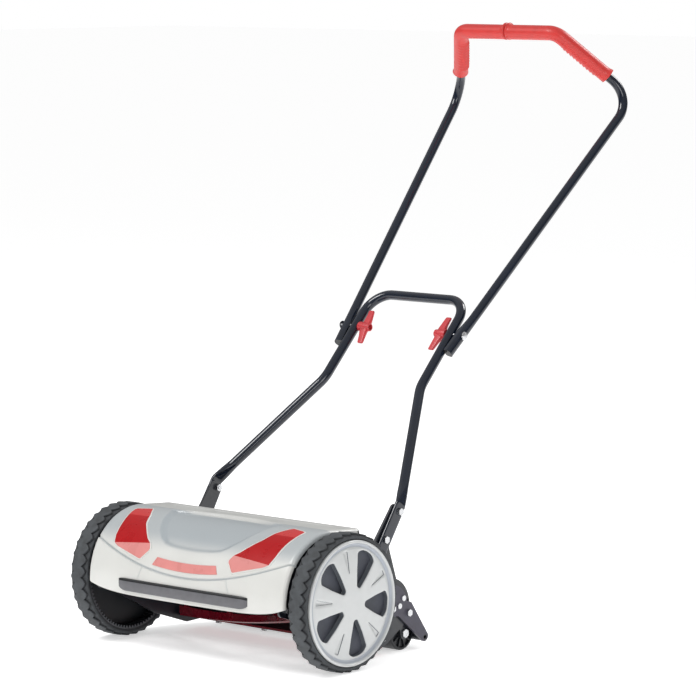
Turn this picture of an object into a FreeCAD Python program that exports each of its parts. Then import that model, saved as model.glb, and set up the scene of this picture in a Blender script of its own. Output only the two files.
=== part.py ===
"""Push reel mower with a folding handle: FreeCAD parametric model.

Everything is laid out about the wheel axle: X runs along the axle, +X to the
right of someone who faces the rear, -Y is the front (the way the mower
travels), +Y is the rear (towards the operator) and Z = 0 is the ground.
At the end all sub-parts are moved together, so that the origin is under the
centre of the whole machine.
"""

import FreeCAD, Part
import math
import os
import re

import Sketcher
from FreeCAD import Placement, Rotation, Vector

DRIVING_SIZES = {
    # wheels and their drive
    "axle_height": 106.0,
    "tyre_radius": 106.0,
    "tyre_inner_face": 214.5,
    "tyre_outer_face": 250.0,
    "rim_radius": 97.0,
    "rim_inner_face": 215.0,
    "rim_outer_face": 248.0,
    "web_inner_face": 236.0,
    "web_outer_face": 240.0,
    "hub_radius": 16.0,
    "cap_radius": 95.9,
    "cap_face": 255.0,
    "axle_radius": 8.0,
    "running_gap": 0.05,
    "face_gap": 0.3,
    "gear_module": 2.0,
    "ring_teeth": 91.0,
    "pinion_teeth": 15.0,
    # chassis
    "plate_inner": 190.0,
    "plate_thick": 4.0,
    "reel_back": 75.0,
    "reel_radius": 64.7,
    "blade_depth": 13.0,
    "blade_thick": 3.5,
    "reel_half": 185.0,
    "blade_twist": 72.0,
    "knife_back": 80.0,
    "knife_height": 28.4,
    "knife_tilt": 14.0,
    "knife_depth": 60.0,
    "knife_thick": 3.5,
    "bar_start": 38.0,
    "bar_depth": 24.0,
    "bed_pivot_back": 131.42,
    "bed_pivot_height": 27.95,
    "rod_radius": 6.0,
    "front_rod_back": -80.0,
    "front_rod_height": 100.0,
    "top_rod_back": 20.0,
    "top_rod_height": 182.0,
    # front shroud
    "shroud_half": 207.0,
    "shroud_radius": 106.0,
    "shroud_wall": 3.0,
    "shroud_bulge": 4.0,
    "shroud_front_height": 90.5,
    "shroud_end_rise": 13.0,
    "shroud_top": 212.0,
    "shroud_back": 66.0,
    "shroud_back_height": 207.5,
    "shroud_lip": 7.0,
    "boss_circle": 97.0,
    "boss_radius": 7.0,
    # bumper bar on the shroud
    "bumper_half": 137.5,
    "bumper_front": -115.5,
    "bumper_back": -110.7,
    "bumper_low": 96.0,
    "bumper_high": 116.0,
    # rear roller and its height brackets
    "pivot_back": 150.0,
    "pivot_height": 72.0,
    "roller_back": 190.0,
    "roller_height": 27.0,
    "roller_radius": 27.0,
    "roller_half": 184.5,
    "lock_back": 189.4,
    "lock_height": 60.6,
    "tip_back": 229.0,
    "tip_height": 17.0,
    "cross_radius": 6.5,
    "bolt_radius": 3.0,
    # handle
    "lower_tube_radius": 8.0,
    "upper_tube_radius": 7.6,
    "tube_wall": 1.2,
    "foot_width": 22.7,
    "foot_thick": 5.0,
    "foot_bolt_1_back": 134.6,
    "foot_bolt_1_height": 181.3,
    "foot_bolt_2_back": 167.5,
    "foot_bolt_2_height": 221.0,
    "fold_back": 402.0,
    "fold_height": 470.0,
    "grip_radius": 12.25,
    "wing_span": 31.0,
}

# Places of the bends of the handle's two tubes, right half: X, Y, Z.
LOWER_KINK = Vector(197.0, 172.0, 232.0)
LOWER_BEND = Vector(101.9, 327.9, 391.4)
LOWER_CORNER = Vector(100.4, 447.9, 519.9)
UPPER_END = Vector(117.6, 378.0, 443.0)
UPPER_BEND = Vector(184.9, 764.5, 838.4)
UPPER_CORNER = Vector(101.6, 665.6, 945.0)

doc = FreeCAD.newDocument("reel_mower")
sheet = doc.addObject("Spreadsheet::Sheet", "sizes")
for row, (alias, number) in enumerate(DRIVING_SIZES.items(), start=1):
    sheet.set(f"A{row}", alias)
    sheet.set(f"B{row}", str(number))
    sheet.setAlias(f"B{row}", alias)
doc.recompute()

kept = {}                       # node name -> the document object that is exported
ALIAS_WORD = re.compile(r"\b(" + "|".join(DRIVING_SIZES) + r")\b")


# ---------------------------------------------------------------- helpers

def cells(text):
    """The expression with every alias written as a cell of the sheet."""
    return ALIAS_WORD.sub(r"sizes.\1", str(text))


def value(text):
    """The number that an expression in driving sizes stands for."""
    return float(sheet.evalExpression(cells(text)))


def keep(label, thing):
    """Name an object after its node and remember that it is exported."""
    thing.Label = label
    kept[label] = thing
    return thing


def origin_plane(body, role):
    """The body's own origin plane with this role."""
    return next(f for f in body.Origin.OriginFeatures if f.Role == role)


def new_sketch(body, role, offset="0"):
    """A sketch on one of the body's origin planes, moved along its normal."""
    sketch = body.newObject("Sketcher::SketchObject", "Sketch")
    sketch.AttachmentSupport = [(origin_plane(body, role), "")]
    sketch.MapMode = "FlatFace"
    sketch.setExpression(".AttachmentOffset.Base.z", cells(offset))
    return sketch


def pin(sketch, geometry, end, corner):
    """Tie a point of the sketch to the sheet, by its distances from the origin."""
    for kind, text in zip(("DistanceX", "DistanceY"), corner):
        rule = Sketcher.Constraint(kind, -1, 1, geometry, end, value(text))
        index = sketch.addConstraint(rule)
        sketch.setExpression(f"Constraints[{index}]", cells(text))


def circle(sketch, centre, radius):
    """A circle whose centre and radius follow the sheet."""
    middle = Vector(value(centre[0]), value(centre[1]), 0)
    number = sketch.addGeometry(Part.Circle(middle, Vector(0, 0, 1), value(radius)))
    pin(sketch, number, 3, centre)
    index = sketch.addConstraint(Sketcher.Constraint("Radius", number, value(radius)))
    sketch.setExpression(f"Constraints[{index}]", cells(radius))


def outline(sketch, corners, arcs=None):
    """A closed outline. arcs: edge number -> (radius, +1 or -1 for its left side)."""
    arcs = arcs or {}
    count = len(corners)
    points = [Vector(value(a), value(b), 0) for a, b in corners]
    ends = []
    for i, start in enumerate(points):
        stop = points[(i + 1) % count]
        if i in arcs:
            radius, side = value(arcs[i][0]), arcs[i][1]
            chord = stop - start
            rise = radius - math.sqrt(radius ** 2 - (chord.Length / 2) ** 2)
            normal = Vector(-chord.y, chord.x, 0).normalize()
            middle = (start + stop) * 0.5 + normal * (side * rise)
            number = sketch.addGeometry(Part.Arc(start, middle, stop))
            forward = sketch.getPoint(number, 1).distanceToPoint(start) < 1e-6
            ends.append((number, 1, 2) if forward else (number, 2, 1))
            rule = sketch.addConstraint(Sketcher.Constraint("Radius", number, radius))
            sketch.setExpression(f"Constraints[{rule}]", cells(arcs[i][0]))
        else:
            ends.append((sketch.addGeometry(Part.LineSegment(start, stop)), 1, 2))
    for i, (number, first, last) in enumerate(ends):
        following = ends[(i + 1) % count]
        rule = Sketcher.Constraint("Coincident", number, last, following[0], following[1])
        sketch.addConstraint(rule)
        pin(sketch, number, first, corners[i])


def pad(body, sketch, length):
    """Pad a sketch along its normal."""
    feature = body.newObject("PartDesign::Pad", "Pad")
    feature.Profile = sketch
    feature.setExpression("Length", cells(length))
    return feature


def set_place(thing, x="0", y="0", z="0"):
    """Tie the object's place to the sheet."""
    for letter, text in zip("xyz", (x, y, z)):
        thing.setExpression(f".Placement.Base.{letter}", cells(text))


def round_corners(body, feature, corners, radius):
    """Fillet the edges along X that pass through these corners (Y, Z)."""
    doc.recompute()
    wanted = [(value(a), value(b)) for a, b in corners]
    names = []
    for number, edge in enumerate(feature.Shape.Edges, start=1):
        first, last = edge.Vertexes[0].Point, edge.Vertexes[-1].Point
        if abs(first.y - last.y) > 1e-4 or abs(first.z - last.z) > 1e-4:
            continue
        if any(math.hypot(first.y - y, first.z - z) < 0.01 for y, z in wanted):
            names.append(f"Edge{number}")
    fillet = body.newObject("PartDesign::Fillet", "Fillet")
    fillet.Base = (feature, names)
    fillet.setExpression("Radius", cells(radius))
    return fillet


def plate(label, corners, start, thick, holes=(), rounds=(), arcs=None):
    """A flat plate across X: an outline in Y, Z with round holes."""
    body = doc.addObject("PartDesign::Body", label)
    sketch = new_sketch(body, "YZ_Plane", start)
    outline(sketch, corners, arcs)
    for centre, radius in holes:
        circle(sketch, centre, radius)
    last = pad(body, sketch, thick)
    for numbers, radius in rounds:
        last = round_corners(body, last, [corners[n] for n in numbers], radius)
    return keep(label, body)


def turned(label, profile, y, z):
    """A solid of revolution about a line along X, drawn as X, radius corners."""
    body = doc.addObject("PartDesign::Body", label)
    sketch = new_sketch(body, "XZ_Plane")
    outline(sketch, profile)
    spin = body.newObject("PartDesign::Revolution", "Revolution")
    spin.Profile = sketch
    spin.ReferenceAxis = (sketch, ["H_Axis"])
    spin.Angle = 360
    set_place(body, "0", y, z)
    return keep(label, body)


def mirrored(label, source):
    """The same piece on the other side of the machine."""
    twin = doc.addObject("Part::Mirroring", label)
    twin.Source = source
    twin.Base = Vector(0, 0, 0)
    twin.Normal = Vector(1, 0, 0)
    return keep(label, twin)


def both_sides(name, source):
    """Turn a right hand piece into a right and a left one."""
    kept.pop(source.Label)
    keep(f"{name}_right", source)
    mirrored(f"{name}_left", source)


def rod(x, length, y, z, radius):
    """A plain cylinder along X."""
    thing = doc.addObject("Part::Cylinder", "Rod")
    thing.setExpression("Radius", cells(radius))
    thing.setExpression("Height", cells(length))
    set_place(thing, x, y, z)
    thing.Placement.Rotation = Rotation(Vector(0, 1, 0), 90)
    return thing


def hexagon(x, length, y, z, radius):
    """A hexagonal bar along X, for bolt heads and nuts."""
    thing = doc.addObject("Part::Prism", "Hexagon")
    thing.Polygon = 6
    thing.setExpression("Circumradius", cells(radius))
    thing.setExpression("Height", cells(length))
    set_place(thing, x, y, z)
    thing.Placement.Rotation = Rotation(Vector(0, 1, 0), 90)
    return thing


def fused(*things):
    """One solid out of several primitives."""
    whole = doc.addObject("Part::MultiFuse", "Fused")
    whole.Shapes = list(things)
    return whole


def cut(base, tool):
    """One solid less another."""
    whole = doc.addObject("Part::Cut", "Cut")
    whole.Base = base
    whole.Tool = tool
    return whole


def group(label, things):
    """Several separate solids in one node."""
    whole = doc.addObject("Part::Compound", label)
    whole.Links = list(things)
    return keep(label, whole)


def twins(label, things):
    """A group of right hand pieces and their mirror images."""
    pairs = []
    for thing in things:
        twin = doc.addObject("Part::Mirroring", "Twin")
        twin.Source = thing
        twin.Base = Vector(0, 0, 0)
        twin.Normal = Vector(1, 0, 0)
        pairs += [thing, twin]
    return group(label, pairs)


def rounded_path(points, radii):
    """Straight runs joined by tangent arcs; radii holds one for each inner point."""
    edges = []
    start = points[0]
    for i, radius in enumerate(radii, start=1):
        before = (points[i] - points[i - 1]).normalize()
        after = (points[i + 1] - points[i]).normalize()
        turn = math.acos(max(-1.0, min(1.0, before.dot(after))))
        reach = radius * math.tan(turn / 2)
        entry = points[i] - before * reach
        leave = points[i] + after * reach
        inward = (after - before).normalize()
        middle = points[i] + inward * (radius / math.cos(turn / 2) - radius)
        edges.append(Part.LineSegment(start, entry).toShape())
        edges.append(Part.Arc(entry, middle, leave).toShape())
        start = leave
    edges.append(Part.LineSegment(start, points[-1]).toShape())
    return Part.Wire(edges)


def swept(path, radius):
    """A round bar along a path, as a Part sweep of a circle."""
    spine = doc.addObject("Part::Feature", "Path")
    spine.Shape = path
    start = path.Edges[0]
    ring = doc.addObject("Part::Circle", "Section")
    ring.setExpression("Radius", cells(radius))
    heading = start.tangentAt(start.FirstParameter)
    ring.Placement = Placement(path.Vertexes[0].Point, Rotation(Vector(0, 0, 1), heading))
    bar = doc.addObject("Part::Sweep", "Sweep")
    bar.Sections = [ring]
    bar.Spine = (spine, [f"Edge{n + 1}" for n in range(len(path.Edges))])
    bar.Solid = True
    return bar


def mirror_point(point):
    """The same place on the other side of the machine."""
    return Vector(-point.x, point.y, point.z)


def gear_outline(teeth, tip, root, half_thickness, phase):
    """Closed involute outline about the origin, one tooth centred on phase."""
    module = value("gear_module")
    pitch = teeth * module / 2
    base = pitch * math.cos(math.radians(20))

    def involute(radius):
        ratio = max(radius, base) / base
        angle = math.acos(1 / ratio)
        return math.tan(angle) - angle

    flank = 5
    low = max(root, base)
    radii = [root] if root < base else []
    radii += [low + (tip - low) * i / (flank - 1) for i in range(flank)]
    side = [half_thickness / pitch + involute(pitch) - involute(r) for r in radii]
    points = []
    for tooth in range(int(teeth)):
        centre = phase + 2 * math.pi * tooth / teeth
        flanks = [(r, centre - a) for r, a in zip(radii, side)]
        flanks += [(r, centre + a) for r, a in reversed(list(zip(radii, side)))]
        points += [Vector(0, r * math.cos(a), r * math.sin(a)) for r, a in flanks]
    return Part.makePolygon(points + [points[0]])


# ---------------------------------------------------------------- chassis

REEL_HEIGHT = "axle_height - sqrt((gear_module * (ring_teeth - pinion_teeth) / 2)^2 - reel_back^2)"
BOSS_ANGLES = (152, 97)
FOOT_SLOPE = 56.1               # degrees above level, side view
SLOT_CIRCLE = 41.0              # lock bolt's distance from the bracket pivot
SLOT_ENDS = (-32.5, 12.5)       # degrees, seen from +X


def boss_places():
    """Where the shroud's bosses sit on their circle about the axle."""
    for angle in BOSS_ANGLES:
        y = f"boss_circle * cos({angle})"
        z = f"axle_height + boss_circle * sin({angle})"
        yield y, z


def slot_corners():
    """The curved slot that the height bracket's lock bolt moves along."""
    half = 3.15
    places = [(half, SLOT_ENDS[0]), (half, SLOT_ENDS[1]), (-half, SLOT_ENDS[1]), (-half, SLOT_ENDS[0])]
    for offset, angle in places:
        reach = SLOT_CIRCLE + offset
        yield f"pivot_back + {reach} * cos({angle})", f"pivot_height + {reach} * sin({angle})"


def make_side_plates():
    """Pressed steel end plates: they hold the axles, the reel and the handle."""
    corners = [
        ("-99.5", "92"),
        ("-99.5", "axle_height + 16"),
        ("8", "axle_height + 101.5"),
        ("58", "198"),
        ("100", "160"),
        ("160.3", "236.2"),
        ("180.3", "222.8"),
        ("148", "168"),
        ("pivot_back + 15.8", "pivot_height + 43.95"),
        ("pivot_back + 37.4", "pivot_height - 28"),
        ("pivot_back - 12", "14"),
        ("96", "12"),
        ("24", "36"),
        ("-60", "80"),
    ]
    holes = [
        (("0", "axle_height"), "axle_radius + 0.02"),
        (("reel_back", REEL_HEIGHT), "13"),
        (("front_rod_back", "front_rod_height"), "4.05"),
        (("top_rod_back", "top_rod_height"), "4.05"),
        (("pivot_back", "pivot_height"), "bolt_radius + running_gap"),
        (("bed_pivot_back", "bed_pivot_height"), "bolt_radius + running_gap"),
        (("foot_bolt_1_back", "foot_bolt_1_height"), "bolt_radius + 0.02"),
        (("foot_bolt_2_back", "foot_bolt_2_height"), "bolt_radius + 0.02"),
    ]
    holes += [(place, "2.6") for place in boss_places()]
    body = doc.addObject("PartDesign::Body", "side_plate")
    sketch = new_sketch(body, "YZ_Plane", "plate_inner")
    outline(sketch, corners, {1: ("101.5", 1), 8: ("46.7", 1)})
    slot_arcs = {0: (f"{SLOT_CIRCLE + 3.15}", -1), 2: (f"{SLOT_CIRCLE - 3.15}", 1)}
    outline(sketch, list(slot_corners()), slot_arcs)
    for centre, radius in holes:
        circle(sketch, centre, radius)
    last = pad(body, sketch, "plate_thick")
    last = round_corners(body, last, [corners[n] for n in (0, 3, 4, 7, 10, 11, 12, 13)], "8")
    round_corners(body, last, [corners[n] for n in (5, 6)], "9")
    keep("side_plate", body)
    both_sides("side_plate", body)


def tie_rod(label, y, z):
    """A round spacer bar between the side plates, with threaded ends."""
    inner = "plate_inner"
    end = "plate_inner + plate_thick + 6"
    turned(label, [
        (f"-({end})", "0"), (f"-({end})", "4"), (f"-{inner}", "4"), (f"-{inner}", "rod_radius"),
        (inner, "rod_radius"), (inner, "4"), (end, "4"), (end, "0"),
    ], y, z)


def ring_nut(x, length, y, z, radius, hole):
    """A hexagonal nut with its hole, its axis along X."""
    bore = rod(f"{x} - 1", f"{length} + 2", y, z, hole)
    return cut(hexagon(x, length, y, z, radius), bore)


def make_tie_rods():
    """Two tie rods and their four nuts."""
    tie_rod("front_tie_rod", "front_rod_back", "front_rod_height")
    tie_rod("top_tie_rod", "top_rod_back", "top_rod_height")
    places = [("front_rod_back", "front_rod_height"), ("top_rod_back", "top_rod_height")]
    nuts = [ring_nut("plate_inner + plate_thick", "5", y, z, "7.5", "4.02") for y, z in places]
    twins("tie_rod_nuts", nuts)


def make_reel_bearings():
    """Flanged bushes in the side plates that the reel shaft turns in."""
    hole = "axle_radius + running_gap"
    bush = turned("reel_bearing", [
        ("plate_inner - 3.5", hole), ("plate_inner - 3.5", "17"), ("plate_inner", "17"),
        ("plate_inner", "12.98"), ("plate_inner + 6", "12.98"), ("plate_inner + 6", hole),
    ], "reel_back", REEL_HEIGHT)
    both_sides("reel_bearing", bush)


# ---------------------------------------------------------------- shroud

def section_corners(share, inset):
    """End profile of the shroud; share is 0 at its ends and 1 in the middle."""
    front = f"-(shroud_radius - {inset} + {share} * shroud_bulge)"
    low = "shroud_front_height"
    top = f"shroud_top - {inset}"
    drop = 0 if inset == 0 else 20
    return [
        (front, f"{low} - {drop}"),
        (front, low),
        ("0", top),
        ("shroud_back", f"shroud_back_height - {inset}"),
        (f"shroud_back + 3 + {drop}", f"shroud_back_height - shroud_lip - {drop / 4}"),
        (f"shroud_back + 3 + {drop}", f"{low} - {drop}"),
    ]


def section_loft(body, kind, inset, over):
    """Loft the profile through both ends and the middle of the shroud."""
    sections = []
    reach = f"shroud_half + {over}"
    for x, share in ((f"-({reach})", 0), ("0", 1), (reach, 0)):
        sketch = new_sketch(body, "YZ_Plane", x)
        corners = section_corners(share, inset)
        if inset == 0:
            corners = corners[1:]
        bend = f"shroud_radius - {inset} + 2 + {share} * 1.5"
        outline(sketch, corners, {len(corners) - 5: (bend, 1)})
        sections.append(sketch)
    loft = body.newObject(kind, "Loft")
    loft.Profile = sections[0]
    loft.Sections = sections[1:]
    return loft


def make_shroud():
    """The moulded cover over the reel: a thin shell, open below and behind."""
    body = doc.addObject("PartDesign::Body", "shroud")
    section_loft(body, "PartDesign::AdditiveLoft", 0, 0)
    doc.recompute()
    section_loft(body, "PartDesign::SubtractiveLoft", 3, 1)
    doc.recompute()
    for sign, bulge in (("", -1), ("-", 1)):
        corner = new_sketch(body, "XZ_Plane")
        outline(corner, [
            (f"{sign}125", "shroud_front_height - 5"), (f"{sign}125", "shroud_front_height"),
            (f"{sign}(shroud_half + 1)", "shroud_front_height + shroud_end_rise"),
            (f"{sign}(shroud_half + 1)", "shroud_front_height - 5"),
        ], {1: ("272", bulge)})
        trim = body.newObject("PartDesign::Pocket", "Pocket")
        trim.Profile = corner
        trim.Length = 140
        trim.Reversed = True
        doc.recompute()
    bosses = []
    for y, z in boss_places():
        bosses.append(rod("plate_inner - 20", "19.7", y, z, "boss_radius"))
        bosses.append(rod("-(plate_inner - 0.3)", "19.7", y, z, "boss_radius"))
    keep("shroud", fused(body, *bosses))


def make_shroud_screws():
    """Screws through the side plates into the shroud's bosses."""
    screws = []
    for y, z in boss_places():
        shank = rod("plate_inner - 14", "plate_thick + 14", y, z, "2.5")
        head = rod("plate_inner + plate_thick", "3", y, z, "5")
        screws.append(fused(shank, head))
    twins("shroud_screws", screws)


def make_bumper():
    """The straight dark bar across the front of the shroud, and its screws."""
    body = doc.addObject("PartDesign::Body", "bumper_bar")
    sketch = new_sketch(body, "XY_Plane", "bumper_low")
    outline(sketch, [
        ("-bumper_half", "bumper_back"), ("-bumper_half + 7", "bumper_front"),
        ("bumper_half - 7", "bumper_front"), ("bumper_half", "bumper_back"),
    ])
    last = pad(body, sketch, "bumper_high - bumper_low")
    doc.recompute()
    names = [
        f"Edge{n}" for n, edge in enumerate(last.Shape.Edges, start=1)
        if edge.CenterOfMass.y < value("bumper_front") + 0.01
    ]
    fillet = body.newObject("PartDesign::Fillet", "Fillet")
    fillet.Base = (last, names)
    fillet.Radius = 2.5
    keep("bumper_bar", body)
    screws = []
    for x in (-90, 90):
        shank = doc.addObject("Part::Cylinder", "Screw")
        shank.Radius = 2.5
        shank.Height = 17
        set_place(shank, str(x), "bumper_front + 3", "(bumper_low + bumper_high) / 2")
        shank.Placement.Rotation = Rotation(Vector(1, 0, 0), -90)
        screws.append(shank)
    group("bumper_screws", screws)


# ---------------------------------------------------------------- bed knife

def tilted(label, thing):
    """Set a piece of the bed knife in its place, tilted down to the rear."""
    thing.Placement.Rotation = Rotation(Vector(1, 0, 0), -value("knife_tilt"))
    set_place(thing, "0", "knife_back", "knife_height")
    return keep(label, thing)


def local_box(x, y, z, size_x, size_y, size_z):
    """A box in the bed knife's own directions."""
    thing = doc.addObject("Part::Box", "Box")
    for name, text in (("Length", size_x), ("Width", size_y), ("Height", size_z)):
        thing.setExpression(name, cells(text))
    set_place(thing, x, y, z)
    return thing


def upright(x, y, z, height, radius):
    """A cylinder along Z."""
    thing = doc.addObject("Part::Cylinder", "Upright")
    thing.setExpression("Radius", cells(radius))
    thing.setExpression("Height", cells(height))
    set_place(thing, x, y, z)
    return thing


def make_bed_knife():
    """Fixed blade, the bar that carries it, its screws and its two pivots."""
    half = "plate_inner - 0.5"
    places = (-150, -50, 50, 150)
    across = "bar_start + bar_depth / 2"
    middle = "bar_depth / 2"
    blade = local_box(f"-({half})", "0", "-knife_thick", f"2 * ({half})", "knife_depth", "knife_thick")
    holes = [upright(str(x), across, "-knife_thick - 1", "knife_thick + 2", "2.52") for x in places]
    tilted("bed_knife", cut(blade, fused(*holes)))
    bar = local_box(f"-({half})", "bar_start", "0", f"2 * ({half})", "bar_depth", "bar_depth")
    holes = [upright(str(x), across, "-1", "17", "2.52") for x in places]
    holes.append(rod(f"-({half} + 1)", f"2 * ({half} + 1)", across, middle, "bolt_radius + 0.02"))
    tilted("bed_bar", cut(bar, fused(*holes)))
    screws = []
    for x in places:
        head = upright(str(x), across, "-knife_thick - 3", "3", "5")
        shank = upright(str(x), across, "-knife_thick - 0.5", "knife_thick + 8", "2.5")
        screws.append(fused(head, shank))
    tilted("knife_screws", group("knife_screws", screws))
    pivots = []
    for side in (1, -1):
        start = "plate_inner - 15" if side > 0 else "-(plate_inner + plate_thick + 0.5)"
        shank = rod(start, "plate_thick + 15.5", across, middle, "bolt_radius")
        start = "plate_inner + plate_thick + 0.2" if side > 0 else "-(plate_inner + plate_thick + 4.2)"
        head = hexagon(start, "4", across, middle, "6")
        pivots.append(fused(shank, head))
    tilted("bed_pivot_bolts", group("bed_pivot_bolts", pivots))


def make_adjusters():
    """Lugs on the side plates with the screws that set the knife to the reel."""
    place = ("plate_inner - 10", "140")
    lug = local_box("plate_inner - 17", "132", "44", "17", "16", "6")
    lug = cut(lug, upright(*place, "43", "8", "bolt_radius + 0.02"))
    twins("adjuster_lugs", [lug])
    shank = upright(*place, "39.2", "19", "bolt_radius")
    head = upright(*place, "58", "4", "5")
    twins("adjuster_screws", [fused(shank, head)])


# ---------------------------------------------------------------- reel

def make_reel_shaft():
    """Shaft through both bearings, slotted at each end for the ratchet key."""
    bar = turned("reel_bar", [("-235.5", "0"), ("-235.5", "axle_radius"),
                              ("235.5", "axle_radius"), ("235.5", "0")], "reel_back", REEL_HEIGHT)
    kept.pop("reel_bar")
    slots = []
    for x in ("199.5", "-207.5"):
        slot = local_box(x, "reel_back - 9", f"{REEL_HEIGHT} - 2.52", "8", "18", "5.04")
        slots.append(slot)
    keep("reel_shaft", cut(bar, fused(*slots)))
    key = local_box("199.6", "reel_back - 12", f"{REEL_HEIGHT} - 2.5", "7.8", "24", "5")
    twins("ratchet_keys", [key])
    clip = turned("reel_clips", [("233.9", "8.02"), ("233.9", "12"), ("235.2", "12"), ("235.2", "8.02")],
                  "reel_back", REEL_HEIGHT)
    twins("reel_clips", [clip])


def make_spiders():
    """Five-armed discs welded to the shaft; their arm tips carry the blades."""
    count = 5
    tip = value("reel_radius - blade_depth") - 0.2
    spiders = []
    for x in (-165, -55, 55, 165):
        body = doc.addObject("PartDesign::Body", "spider")
        sketch = new_sketch(body, "YZ_Plane", str(x - 2))
        circle(sketch, ("0", "0"), "20")
        circle(sketch, ("0", "0"), "axle_radius + 0.02")
        pad(body, sketch, "4")
        doc.recompute()
        arm = new_sketch(body, "YZ_Plane", str(x - 2))
        outline(arm, [("17", "-9"), (f"{tip - 0.35}", "-5"), (f"{tip - 0.35}", "5"), ("17", "9")])
        spoke = pad(body, arm, "4")
        doc.recompute()
        pattern = body.newObject("PartDesign::PolarPattern", "PolarPattern")
        pattern.Originals = [spoke]
        pattern.Axis = (origin_plane(body, "X_Axis"), [""])
        pattern.Angle = 360
        pattern.Occurrences = count
        body.Tip = pattern
        twist = -value("blade_twist") * (x + value("reel_half")) / (2 * value("reel_half")) - 90
        set_place(body, "0", "reel_back", REEL_HEIGHT)
        body.Placement.Rotation = Rotation(Vector(1, 0, 0), twist)
        spiders.append(body)
    group("reel_spiders", spiders)


def make_blades():
    """Five helical blades: each is lofted through turned copies of its section."""
    outer = value("reel_radius")
    inner = outer - value("blade_depth")
    half = value("reel_half")
    thick = value("blade_thick")
    steps = 12
    blades = []
    for blade in range(5):
        wires = []
        for step in range(steps + 1):
            share = step / steps
            angle = math.radians(-90 + 72 * blade - value("blade_twist") * share)
            across = math.atan2(thick / 2, outer)
            x = -half + 2 * half * share
            corners = [(inner, -across), (outer, -across), (outer, across), (inner, across)]
            points = [Vector(x, r * math.cos(angle + a), r * math.sin(angle + a)) for r, a in corners]
            wires.append(Part.makePolygon(points + [points[0]]))
        blades.append(Part.makeLoft(wires, True, False))
    thing = doc.addObject("Part::Feature", "reel_blades")
    thing.Shape = Part.makeCompound(blades)
    thing.Placement.Base = Vector(0, value("reel_back"), value(REEL_HEIGHT))
    keep("reel_blades", thing)


# ---------------------------------------------------------------- wheels

def mesh_phase():
    """Angle, in the Y-Z plane, from the axle to the reel shaft."""
    drop = value("axle_height") - value(REEL_HEIGHT)
    return math.atan2(-drop, value("reel_back"))


def make_ring_gears():
    """The internally toothed ring inside each wheel."""
    module = value("gear_module")
    teeth = value("ring_teeth")
    pitch = teeth * module / 2
    space = math.pi * module / 4 + 0.15
    inside = gear_outline(teeth, pitch + 1.1 * module, pitch - 0.7 * module, space, mesh_phase())
    outside = Part.Wire(Part.makeCircle(95.0, Vector(0, 0, 0), Vector(1, 0, 0)))
    section = Part.makeFace([outside, inside], "Part::FaceMakerBullseye")
    solid = section.extrude(Vector(18, 0, 0))
    thing = doc.addObject("Part::Feature", "ring_gear")
    thing.Shape = solid
    thing.Placement.Base = Vector(216, 0, value("axle_height"))
    keep("ring_gear", thing)
    both_sides("ring_gear", thing)


def make_pinions():
    """Pinions on the reel shaft, each with a ratchet cup on its inner side."""
    module = value("gear_module")
    teeth = value("pinion_teeth")
    pitch = teeth * module / 2
    half_tooth = math.pi * module / 4 - 0.1
    toothed = gear_outline(teeth, pitch + 0.8 * module, pitch - 1.15 * module, half_tooth, mesh_phase())
    gear = Part.Face(toothed).extrude(Vector(17.5, 0, 0))
    gear.translate(Vector(216, 0, 0))
    axis = Vector(1, 0, 0)
    cup = Part.makeCylinder(20, 15.5, Vector(197.5, 0, 0), axis)
    neck = Part.makeCylinder(12.5, 10, Vector(210, 0, 0), axis)
    ramps = []
    for tooth in range(6):
        for radius, turn in ((17.0, 0), (13.2, 58)):
            angle = math.radians(60 * tooth + turn)
            ramps.append(Vector(196, radius * math.cos(angle), radius * math.sin(angle)))
    recess = Part.Face(Part.makePolygon(ramps + [ramps[0]])).extrude(Vector(13.5, 0, 0))
    bore = Part.makeCylinder(value("axle_radius + running_gap"), 50, Vector(190, 0, 0), axis)
    thing = doc.addObject("Part::Feature", "pinion")
    thing.Shape = gear.fuse([cup, neck]).cut([recess, bore]).removeSplitter()
    thing.Placement.Base = Vector(0, value("reel_back"), value(REEL_HEIGHT))
    keep("pinion", thing)
    both_sides("pinion", thing)


def make_rims():
    """Wheel rims: hub, web and the band that the tyre sits on."""
    hole = "axle_radius + running_gap"
    rim = turned("rim", [
        ("216", hole), ("216", "hub_radius"), ("web_inner_face", "hub_radius"),
        ("web_inner_face", "95.05"), ("rim_inner_face", "95.05"), ("rim_inner_face", "rim_radius"),
        ("rim_outer_face", "rim_radius"), ("rim_outer_face", "rim_radius - 3"),
        ("web_outer_face", "rim_radius - 3"), ("web_outer_face", "hub_radius"),
        ("243", "hub_radius"), ("243", hole),
    ], "0", "axle_height")
    both_sides("rim", rim)


def make_tyres():
    """Rubber tyres, drawn as their crown without the tread grooves."""
    low = "rim_radius + 0.05"
    tyre = turned("tyre", [
        ("tyre_inner_face", low), ("tyre_inner_face", "101"), ("218", "104.5"),
        ("223", "tyre_radius"), ("241.5", "tyre_radius"), ("246.5", "104.5"),
        ("tyre_outer_face", "101.5"), ("tyre_outer_face", low),
    ], "0", "axle_height")
    both_sides("tyre", tyre)


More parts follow.
